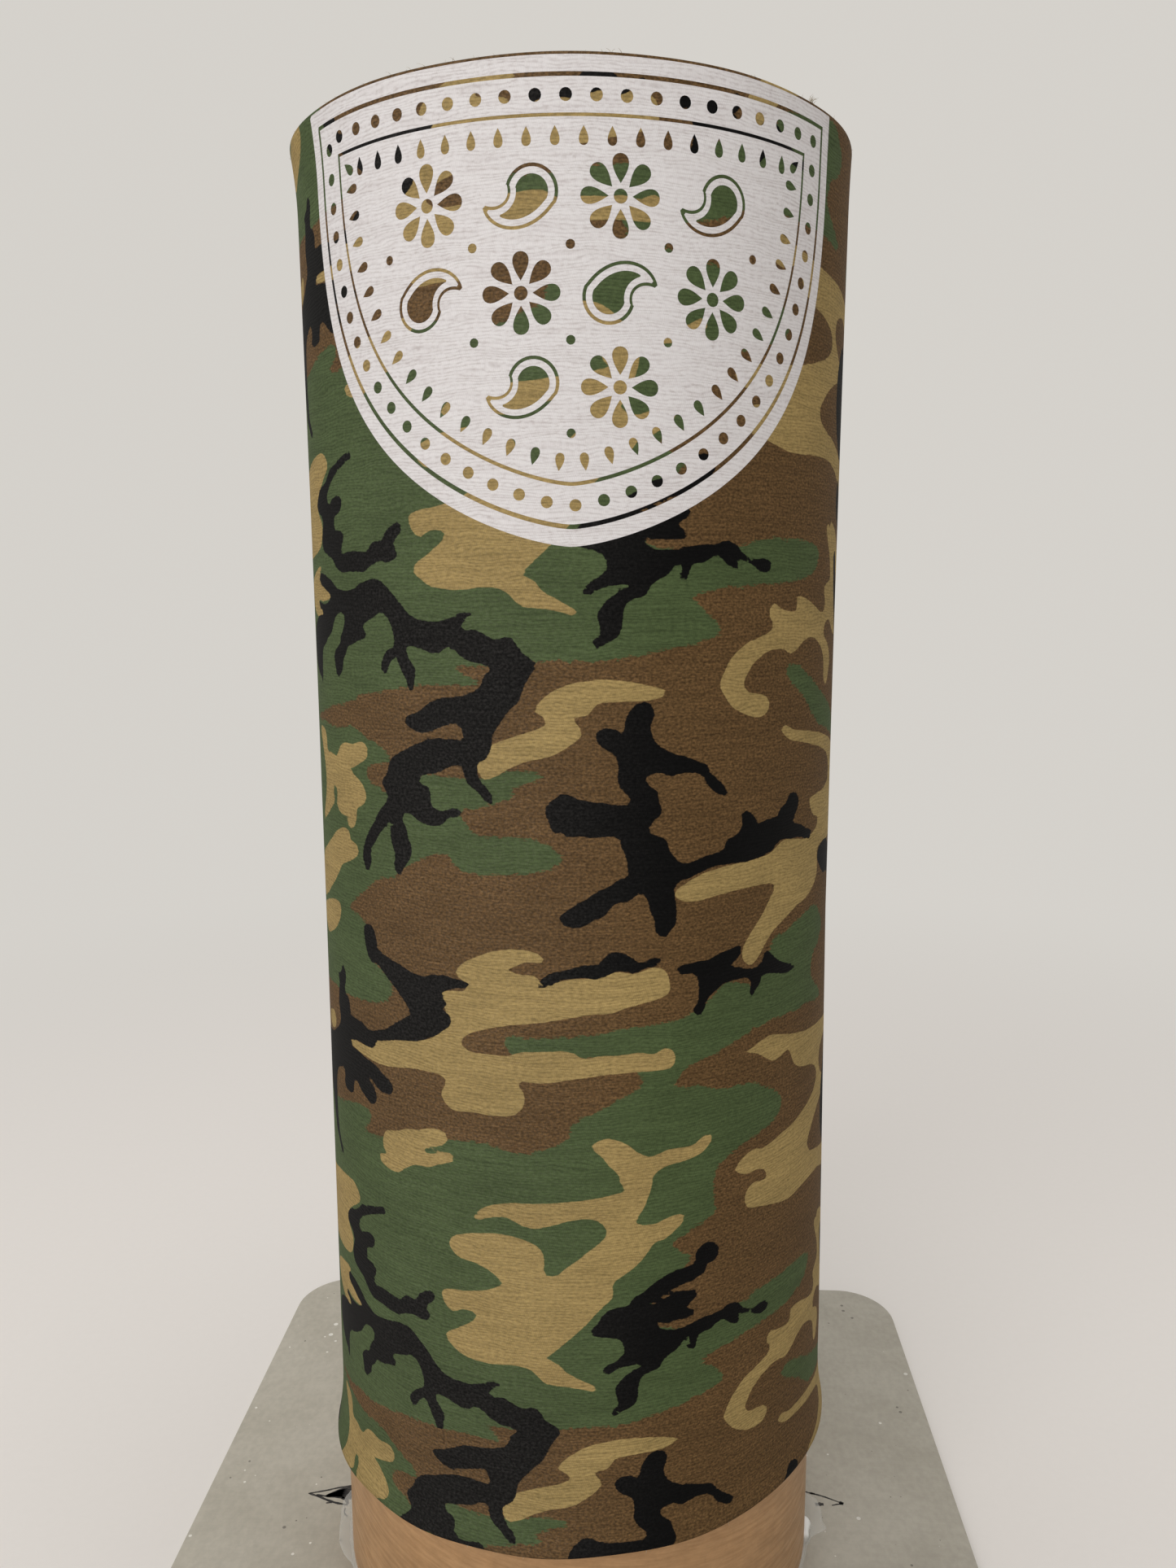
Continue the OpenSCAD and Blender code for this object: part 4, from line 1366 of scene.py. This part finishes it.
@dataclass
class FrontPanel:
    """White bib below the top hem, with bandana ornament left open so that the camouflage shows."""

    half_width: float = 89.0  # Half the width along the hem, in millimetres like the other sizes
    depth: float = 127.0  # Depth below the hem
    hem_gap: float = 0.6  # Gap between the hem and the panel
    roundness: Pair = (1.33, 0.667)  # Powers that shape the edge, around and down
    film: float = 0.06  # Thickness of the white
    grid: float = 3.0  # Spacing of the points inside the panel
    step: float = 1.5  # Spacing of the points along its edges
    # Insets of the panel's edge and of both sides of its open lines
    frame_lines: tuple[float, ...] = (0.0, 4.0, 5.1, 13.8, 14.7)
    # Inset, pitch and radius of the dots in the frame
    frame_dots: tuple[float, float, float] = (9.4, 8.0, 1.7)
    frame_leaves: Pair = (16.8, 7.6)  # Inset and pitch of the leaves along the frame
    leaf: Pair = (5.0, 2.8)  # Length and width of a leaf
    field_gap: float = 5.5  # Gap between the leaves' roots and the field of motifs
    rows: int = 4  # Rows of motifs at most
    columns: int = 3  # Motifs to each side of the middle at most
    pitch: Point = (27.0, 24.6)  # Spacing of the motifs, around and down
    first_row: float = 34.8  # Depth of the first row of motifs
    motif_room: float = 10.5  # Radius that a motif needs
    dot: Pair = (1.3, 3.0)  # Radius of a dot between motifs, and the radius that it needs
    petals: int = 8  # Petals of a flower
    # Gap from a flower's middle to a petal, and the petal's length and width
    petal_size: tuple[float, float, float] = (3.2, 7.6, 4.9)
    eye: float = 1.9  # Radius of the dot in a flower
    head: float = 7.2  # Radius of a paisley's head
    tail: Pair = (2.5, 125.0)  # Length of its tail in radii of the head, and the tail's curl in degrees
    turns: Pair = (110.0, -70.0)  # Directions of the tails in even and odd rows, in degrees
    bands: tuple[float, ...] = (0.0, 0.95, 2.7)  # Insets of a paisley's outline, white band and open core

    @staticmethod
    def evenly(line: Array, pitch: float) -> Array:
        """Find places at an even pitch round a closed line.

        Args:
            line: The line's points.
            pitch: Distance between places, nearly kept.

        Returns:
            Around and down of each place.
        """
        closed = np.vstack([line, line[:1]])
        travelled = np.concatenate([[0.0], np.cumsum(np.hypot(*np.diff(closed, axis=0).T))])
        stops = np.linspace(0.0, travelled[-1], round(travelled[-1] / pitch), endpoint=False)
        return np.stack([np.interp(stops, travelled, closed[:, k]) for k in (0, 1)], axis=-1)

    def edge(self, inset: float) -> Array:
        """Draw the panel's outline: straight along the hem and rounded to a soft point below.

        Args:
            inset: How far it is moved in from the panel's edge.

        Returns:
            Around and down of its points.
        """
        turn = np.linspace(0.0, math.pi, 1500)
        round_across, round_down = self.roundness
        share = np.sign(np.cos(turn)) * np.abs(np.cos(turn)) ** round_across
        around = (self.half_width - inset) * share
        down = (self.depth - 1.2 * inset) * np.sin(turn) ** round_down
        top = self.hem_gap + inset
        return self.evenly(np.stack([around, np.maximum(down, top)], axis=-1), self.step)

    @staticmethod
    def disc(middle: Point, radius: float) -> Array:
        """Draw the outline of a round dot."""
        turn = np.linspace(0.0, 2 * math.pi, max(10, int(radius * 9)), endpoint=False)
        return np.array(middle) + radius * np.stack([np.cos(turn), np.sin(turn)], axis=-1)

    @staticmethod
    def petal(middle: Point, angle: float, start: float, length: float, width: float) -> Array:
        """Draw a petal that points at a middle and is round outside.

        Args:
            middle: Around and down of the middle.
            angle: Direction that it grows in, in radians.
            start: Distance of its point from the middle.
            length: Length from point to round end.
            width: Greatest width.

        Returns:
            Around and down of its outline.
        """
        turn = np.linspace(0.0, 2 * math.pi, 28, endpoint=False)
        along = start + length * (1 - np.cos(turn)) / 2
        across = width * 0.62 * np.sin(turn) * np.sin(turn / 2) ** 1.2
        x = middle[0] + along * math.cos(angle) - across * math.sin(angle)
        y = middle[1] + along * math.sin(angle) + across * math.cos(angle)
        return np.stack([x, y], axis=-1)

    def flower(self, middle: Point) -> list[Array]:
        """Draw a ring of petals round a dot."""
        turns = (k * 2 * math.pi / self.petals for k in range(self.petals))
        petals = [self.petal(middle, turn, *self.petal_size) for turn in turns]
        return [self.disc(middle, self.eye), *petals]

    def paisley(self, middle: Point, turn: float) -> list[Array]:
        """Draw a curled drop: an open line, a white band and an open core.

        Args:
            middle: Around and down of its middle.
            turn: Angle that its tail leaves the round head in, in radians.

        Returns:
            Its three outlines.
        """
        length, curl = self.tail
        share = np.linspace(0.0, 1.0, 24)
        bend = turn + share**1.2 * math.radians(curl)
        ahead = np.stack([np.cos(bend), np.sin(bend)], axis=-1)
        spine = np.cumsum(ahead * length * self.head / len(share), axis=0)
        normal = np.stack([-np.sin(bend), np.cos(bend)], axis=-1)
        back = turn + np.linspace(-1.5, -4.78, 20)
        outlines = []
        for inset in self.bands:
            radius = self.head * (1 - share) ** 0.85 - inset
            kept = radius > 0.12
            half = normal[kept] * radius[kept][:, None]
            cap = spine[0] + radius[0] * np.stack([np.cos(back), np.sin(back)], axis=-1)
            outlines.append(np.vstack([cap, (spine[kept] + half)[1:], (spine[kept] - half)[:0:-1]]))
        drawn_middle = (outlines[0].max(0) + outlines[0].min(0)) / 2
        return [outline - drawn_middle + middle for outline in outlines]

    def motifs(self, field_edge: Array) -> list[Array]:
        """Draw flowers and paisleys in turn with dots between them, wherever they fit.

        Args:
            field_edge: Outline that they stay inside.

        Returns:
            Their outlines.
        """
        lines = []
        across, below = self.pitch
        dot_radius, dot_room = self.dot
        for row in range(self.rows):
            for column in range(-self.columns, self.columns):
                middle = ((column + 0.5) * across, self.first_row + row * below)
                if inside(field_edge, self.disc(middle, self.motif_room)).all():
                    turn = math.radians(self.turns[row % 2])
                    is_flower = (row + column) % 2 == 0
                    lines += self.flower(middle) if is_flower else self.paisley(middle, turn)
            for column in range(-self.columns, self.columns + 1):
                middle = (column * across, self.first_row + (row + 0.5) * below)
                if inside(field_edge, self.disc(middle, dot_room)).all():
                    lines.append(self.disc(middle, dot_radius))
        return lines

    def outlines(self) -> list[Array]:
        """Draw every closed line of the panel: crossing one changes white to open or back.

        Returns:
            Around and down of each line's points, the panel's own edge first.
        """
        lines = [self.edge(inset) for inset in self.frame_lines]
        inset, pitch, radius = self.frame_dots
        lines += [self.disc(place, radius) for place in self.evenly(self.edge(inset), pitch)]
        inset, pitch = self.frame_leaves
        leaves = self.evenly(self.edge(inset), pitch)
        ahead = np.roll(leaves, -1, axis=0) - np.roll(leaves, 1, axis=0)
        for place, inwards in zip(leaves, np.arctan2(-ahead[:, 0], ahead[:, 1]) + math.pi):
            lines.append(self.petal(place, inwards, 0.0, *self.leaf))
        return lines + self.motifs(self.edge(inset + self.field_gap))

    def cut(self) -> tuple[Array, Array]:
        """Cut the flat panel into triangles.

        Returns:
            Around and down of its points, and the points of its triangles, which face outwards.
        """
        lines = self.outlines()
        points, edges = [], []
        for line in lines:
            first = len(points)
            points += [Vector(p) for p in line]
            edges += [(first + k, first + (k + 1) % len(line)) for k in range(len(line))]
        steps_across = np.arange(-self.half_width, self.half_width, self.grid)
        steps_down = np.arange(self.hem_gap + self.grid, self.depth, self.grid)
        across, down = np.meshgrid(steps_across, steps_down)
        loose = np.stack([across.ravel(), down.ravel()], axis=-1)
        points += [Vector(p) for p in loose[inside(lines[0], loose)]]
        found = delaunay_2d_cdt(points, edges, [], 0, 1e-5)
        flat = np.array([tuple(p) for p in found[0]])
        faces = np.array(found[2])
        middles = flat[faces].mean(1)
        white = np.zeros(len(faces), dtype=bool)
        for line in lines:
            white ^= inside(line, middles)
        used, numbers = np.unique(faces[white], return_inverse=True)
        flat = flat[used]
        corners = numbers.reshape(-1, 3)
        sides = flat[corners]
        first, second = sides[:, 1] - sides[:, 0], sides[:, 2] - sides[:, 0]
        facing = first[:, 0] * second[:, 1] - first[:, 1] * second[:, 0] < 0
        return flat, np.where(facing[:, None], corners, corners[:, ::-1])

    def build(self, gaiter: Gaiter) -> Piece:
        """Lay the panel on the fabric as a thin closed film.

        Args:
            gaiter: The fabric that carries it.

        Returns:
            The panel.
        """
        flat, corners = self.cut()
        sides = np.vstack([corners[:, [0, 1]], corners[:, [1, 2]], corners[:, [2, 0]]])
        known = {tuple(side) for side in sides.tolist()}
        count = len(flat)
        rim = [(b, a, a + count, b + count) for a, b in sorted(known) if (b, a) not in known]
        faces = [*corners.tolist(), *(corners[:, ::-1] + count).tolist(), *rim]
        around, down = flat.T
        layers = [gaiter.surface(around, down, proud) for proud in (self.film / 2, -self.film / 2)]
        piece = new_object("front_panel", np.vstack(layers), faces)
        piece.data.set_sharp_from_angle(angle=math.radians(40))
        gaiter.add_fabric_map(piece, np.vstack([flat, flat]))
        return piece


@dataclass(frozen=True)
class GlueBead:
    """A bead of hot-melt glue along the tube's foot, with a thick run and a film spilled over the plate."""

    side: Side  # The side of the stand that it is on
    crest: float  # Rise of the thick run, in millimetres like the other sizes
    run: Pair  # Start and end of the thick run, in degrees from the side towards the front
    spill: Pair  # Start and end of the film, in the same way
    film_width: float  # Reach of the film over the plate
    cloudy: float  # Cloudiness of the thick run, from 0 to 1, whitest at its top as a painted highlight
    clear: float = 0.15  # Cloudiness of the rest
    height: float = 0.8  # Height of the plain bead
    width: float = 0.9  # Width of the plain bead
    skirt: float = 0.3  # Width of the film beside it
    film: float = 0.35  # Thickness of the film
    # Waves along the bead, by degrees
    lumps: tuple[Ripple, ...] = (Ripple(0.35, 0.55, 1.0), Ripple(0.25, 1.3, 0.4))
    reach: float = 70.0  # Angle that the bead runs along, in degrees
    sunk: float = 0.08  # Bite into the tube and the plate
    steps: int = 180  # Sections along the bead
    arc: int = 16  # Points over the top of a section

    @staticmethod
    def between(angle: Array, span: Pair) -> Array:
        """A rounded hump over a span of angles."""
        return np.exp(-((2 * (angle - sum(span) / 2) / (span[1] - span[0])) ** 6))

    def section(self, height: float, bead: float, width: float) -> list[Point]:
        """Draw one section, from the corner up the tube and over to the film's edge.

        Args:
            height: Height of the bead.
            bead: Width of the bead.
            width: Width of the bead and the film together.

        Returns:
            How far out and up each point lies; the second one is the section's highest.
        """
        out = width * np.linspace(0.0, 1.0, self.arc) ** 1.4
        crown = height * np.sqrt(np.clip(1 - (out / bead) ** 2, 0.0, 1.0))
        up = crown + self.film * (1 - (out / width) ** 4)
        return [(-self.sunk, -self.sunk), (-self.sunk, up[0]), *zip(out, up), (width, -self.sunk)]

    def build(self, tube_radius: float, plate_top: float) -> Piece:
        """Sweep the bead's changing section along the foot.

        Args:
            tube_radius: Radius of the tube.
            plate_top: Height of the plate's face.

        Returns:
            The bead, which replaces the plain one of the model.
        """
        share = np.linspace(-1.0, 1.0, self.steps)
        angle = share * self.reach / 2
        ends = np.sqrt(np.clip(1 - share**8, 0.0, 1.0)) + 0.02
        lumps = sum(lump.at(angle) for lump in self.lumps)
        start, end = self.run
        thick = self.between(angle, self.run)
        thick *= 1.2 - 0.7 * np.clip((angle - start) / (end - start), 0.0, 1.0)
        heights = ends * (self.height + 0.5 * lumps + self.crest * thick)
        beads = ends * (self.width + 0.3 * lumps + 0.6 * self.crest * thick)
        widths = beads + ends * (self.skirt + self.film_width * self.between(angle, self.spill))
        sections = [self.section(*sizes) for sizes in zip(heights, beads, widths)]
        places, cloud_and_highlight = [], []
        for along, cloudy, section in zip(angle, self.clear + self.cloudy * thick, sections):
            turn = math.radians(-along)
            highest = section[1][1]
            for outwards, upwards in section:
                radius = tube_radius + outwards
                x = self.side.value * radius * math.cos(turn)
                places.append((x * MM, radius * math.sin(turn) * MM, (plate_top + upwards) * MM))
                # Whiter towards the top of each section: cloudy thick glue and a painted highlight along
                # the crest
                cloud_and_highlight.append(cloudy * max(upwards, 0.0) / highest)
        faces = swept_faces(0, len(sections), len(sections[0]))
        if self.side is Side.RIGHT:
            faces = [face[::-1] for face in faces]
        piece = new_object("glue_" + self.side.name.lower(), np.array(places), faces)
        add_values(piece, "cloud_and_highlight", np.array(cloud_and_highlight))
        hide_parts("glue_bead_" + self.side.name.lower())
        return piece


@dataclass(frozen=True)
class PenMark:
    """An arrowhead drawn with a marker on the plate beside the tube."""

    side: Side  # The side that it points to
    film: float = 0.05  # Thickness of the ink, in millimetres like the other sizes
    sunk: float = 0.01  # Depth of the ink in the plate
    wobble: float = 0.18  # Change of the line's width, as a share of it
    hatches: int = 7  # Lines that fill the left arrowhead

    def lines(self) -> list[tuple[float, list[Point]]]:
        """List the pen's lines, seen from above with the camera's side at -Y.

        Returns:
            Width and points of each line.
        """
        if self.side is Side.RIGHT:
            return [
                (0.7, [(92.6, 4.6), (94.6, 3.8), (97.2, 2.9), (100.6, 1.4), (106.9, -2.0)]),
                (1.1, [(94.6, 3.8), (96.4, 3.2)]),
                (1.8, [(105.4, -1.4), (107.0, -2.1)]),
                (0.6, [(106.4, -2.1), (104.6, -2.3), (102.2, -2.9)]),
                (1.7, [(95.6, -2.4), (97.2, -2.2), (98.9, -2.3)]),
            ]
        hub = (-103.4, 2.8)
        drawn = [
            (0.8, [(-110.9, 4.2), (-106.7, 5.2), (-102.8, 6.2), (-99.3, 7.3), (-93.2, 8.8)]),
            (1.0, [(-110.4, 4.2), (-105.7, 2.3), (-101.6, 0.3), (-97.6, -1.1), (-93.6, -1.9)]),
            (1.3, [(-96.8, 1.9), (-94.6, 0.6), (-93.6, -1.6)]),
            (0.6, [(-102.6, -0.9), (-100.2, -0.7)]),
            (0.5, [(-94.3, -3.6), (-93.9, -6.4), (-92.6, -7.9)]),
            (0.9, [(-107.5, 3.5), hub]),
        ]
        for share in np.linspace(0.0, 1.0, self.hatches):
            drawn.append((1.3, [hub, (-98.4, 2.4 + 3.6 * share), (-92.8, 1.4 + 6.9 * share)]))
        return drawn

    def build(self, plate_top: float) -> Piece:
        """Lay the pen's lines on the plate as thin closed ribbons.

        Args:
            plate_top: Height of the plate's face.

        Returns:
            The mark.
        """
        top, bottom = plate_top + self.film, plate_top - self.sunk
        places, faces = [], []
        for width, points in self.lines():
            path = smooth_path(np.array(points, dtype=float), closed=False, steps=4)
            along = np.gradient(path, axis=0)
            along /= np.hypot(along[:, 0], along[:, 1])[:, None]
            normal = np.stack([-along[:, 1], along[:, 0]], axis=-1)
            wobble = 1 + self.wobble * np.sin(np.arange(len(path)) * 1.7)
            pressed = np.sin(np.linspace(0.45, math.pi - 0.45, len(path))) ** 0.4
            half = normal * (width / 2 * wobble * pressed)[:, None]
            rings = []
            for left, right in zip(path + half, path - half):
                rings.append([(*left, top), (*right, top), (*right, bottom), (*left, bottom)])
            faces += swept_faces(len(places), len(rings), len(rings[0]))
            places += [corner for ring in rings for corner in ring]
        turn = Matrix.Rotation(FRONT_TURN, 4, "Z")
        turned = [tuple(turn @ Vector(p) * MM) for p in places]
        return new_object("pen_mark_" + self.side.name.lower(), np.array(turned), faces, smooth=False)


@dataclass
class Stand:
    """The plate and the tube of the model, with the glue and the pen marks on them."""

    # The glue on each side
    beads: tuple[GlueBead, ...] = (
        GlueBead(Side.LEFT, crest=0.9, run=(1.0, 8.0), spill=(-3.0, 21.0), film_width=4.0, cloudy=0.2),
        GlueBead(Side.RIGHT, crest=2.8, run=(4.5, 11.5), spill=(-5.0, 8.0), film_width=6.0, cloudy=0.9),
    )

    def build(self) -> None:
        """Dress the plate and tube and add the small pieces."""
        nodes = frame["nodes"]
        for name, finish in (("base_plate", SheetMetal()), ("form_tube", KraftBoard())):
            dress(nodes[name], finish.material())
            report(nodes[name], "dressed in " + type(finish).__name__)
        plate_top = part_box("base_plate")[1].z / MM
        tube_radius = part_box("form_tube")[1].y / MM
        glue, ink = ClearGlue().material(), MarkerInk().material()
        for glue_bead in self.beads:
            bead = glue_bead.build(tube_radius, plate_top)
            mark = PenMark(glue_bead.side).build(plate_top)
            for piece, material, slot in ((bead, glue, "clear_glue"), (mark, ink, "marker_ink")):
                dress(piece, material)
                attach(piece, Body.STAND.value)
                report(piece, slot)


@dataclass
class DressedGaiter:
    """The gaiter with its front panel and loose yarn, as one sheet that rides on its own body."""

    gaiter: Gaiter = field(default_factory=Gaiter)  # The knitted tube
    panel: FrontPanel = field(default_factory=FrontPanel)  # The white panel on its front
    ends: YarnEnds = field(default_factory=YarnEnds)  # The loose yarn on its hems

    def build(self) -> None:
        wall = self.gaiter.wall()
        panel = self.panel.build(self.gaiter)
        yarn = self.ends.build(self.gaiter)
        finishes = (
            (wall, CamoKnit(), "camo_knit"),
            (panel, WhiteKnit(), "white_print"),
            (yarn, LooseYarn(), "camo_knit"),
        )
        for piece, finish, slot in finishes:
            dress(piece, finish.material())
            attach(piece, Body.GAITER.value)
            report(piece, slot)
        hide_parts("gaiter")


@dataclass
class PhotoCamera:
    """The camera, in front of the object and a little above its middle."""

    place: Place = (0.024575, -0.42611, 0.36564)  # Where it stands, in metres
    lens: float = 27.03  # Its focal length, in millimetres
    sensor: float = 36.0  # Width of its sensor, in millimetres
    pitch: float = 9.025  # How far it looks down, in degrees
    roll: float = -0.143  # How far it leans, in degrees
    nearest: float = 0.01  # Distance from which it sees, in metres

    def build(self) -> None:
        """Make it the scene's camera."""
        down, lean = math.radians(self.pitch), math.radians(self.roll)
        level = Vector((-math.sin(FRONT_TURN), math.cos(FRONT_TURN), 0.0))
        forward = level * math.cos(down) - Vector((0.0, 0.0, math.sin(down)))
        right = forward.cross(Vector((0.0, 0.0, 1.0))).normalized()
        up = right.cross(forward)
        leaned_right = right * math.cos(lean) + up * math.sin(lean)
        leaned_up = up * math.cos(lean) - right * math.sin(lean)
        data = bpy.data.cameras.new("photo_camera")
        data.lens = self.lens
        data.sensor_width = self.sensor
        data.clip_start = self.nearest
        camera = bpy.data.objects.new("photo_camera", data)
        axes = Matrix((leaned_right, leaned_up, -forward)).transposed().to_4x4()
        camera.matrix_world = Matrix.Translation(self.place) @ axes
        bpy.context.scene.collection.objects.link(camera)
        bpy.context.scene.camera = camera


@dataclass(frozen=True)
class SoftLamp:
    """A large soft lamp that points at the object."""

    name: str
    place: Place  # Where it hangs, in metres
    size: float  # Side of its square, in metres
    power: float  # Its power in watts
    tint: Colour

    def build(self, target: Place) -> None:
        """Hang the lamp and aim it.

        Args:
            target: The place that it points at, in metres.
        """
        data = bpy.data.lights.new(self.name, "AREA")
        data.size = self.size
        data.energy = self.power
        data.color = self.tint
        lamp = bpy.data.objects.new(self.name, data)
        lamp.location = self.place
        aim = Vector(target) - Vector(self.place)
        lamp.rotation_euler = aim.to_track_quat("-Z", "Y").to_euler()
        bpy.context.scene.collection.objects.link(lamp)


@dataclass
class Studio:
    """Pale paper floor, soft lamps and the plain background."""

    floor_radius: float = 9.0  # Radius of the paper, in metres
    floor_sides: int = 96  # Sides of its rim
    ambient: float = 0.45  # Strength of the light from all round
    ambient_tint: Colour = (1.0, 0.975, 0.935)  # Colour of that light
    paper: StudioPaper = StudioPaper()  # Finish of the floor
    target: Place = (0.0, 0.0, 0.26)  # The place that the lamps point at, in metres
    lamps: tuple[SoftLamp, ...] = (
        SoftLamp("key", (-0.58, -1.55, 0.95), size=1.5, power=16.6, tint=(1.0, 0.99, 0.975)),
        SoftLamp("overhead", (0.0, 0.3, 1.9), size=1.4, power=11.4, tint=(1.0, 0.99, 0.97)),
    )

    def build(self) -> None:
        """Set the floor, the lamps, the background and the view."""
        sides = self.floor_sides
        turns = np.arange(sides) * 2 * math.pi / sides
        rim = np.stack([np.cos(turns), np.sin(turns), np.zeros(sides)], axis=-1) * self.floor_radius
        floor = new_object("studio_floor", rim, [tuple(range(sides))], smooth=False)
        dress(floor, self.paper.material())
        for lamp in self.lamps:
            lamp.build(self.target)
        self.background()
        bpy.context.scene.view_settings.view_transform = "Standard"

    def background(self) -> None:
        """Light evenly from all round, and show the background's colour to camera and reflections."""
        world = bpy.data.worlds.new("studio")
        world.use_nodes = True
        bpy.context.scene.world = world
        nodes = Nodes(world.node_tree)
        light = nodes.tree.nodes["Background"]
        light.inputs["Color"].default_value = (*self.ambient_tint, 1.0)
        light.inputs["Strength"].default_value = self.ambient
        shown = nodes.node("Background", {"Color": (*self.paper.background, 1.0)})
        nodes.show(light.outputs[0], shown.outputs[0], nodes.seen(), "World Output")


def main() -> None:
    """Build the camera, the stand, the gaiter and the studio, in that order."""
    logging.basicConfig(level=logging.INFO, format="%(name)s: %(message)s")
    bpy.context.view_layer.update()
    PhotoCamera().build()
    Stand().build()
    DressedGaiter().build()
    Studio().build()


if __name__ == "__main__":
    main()
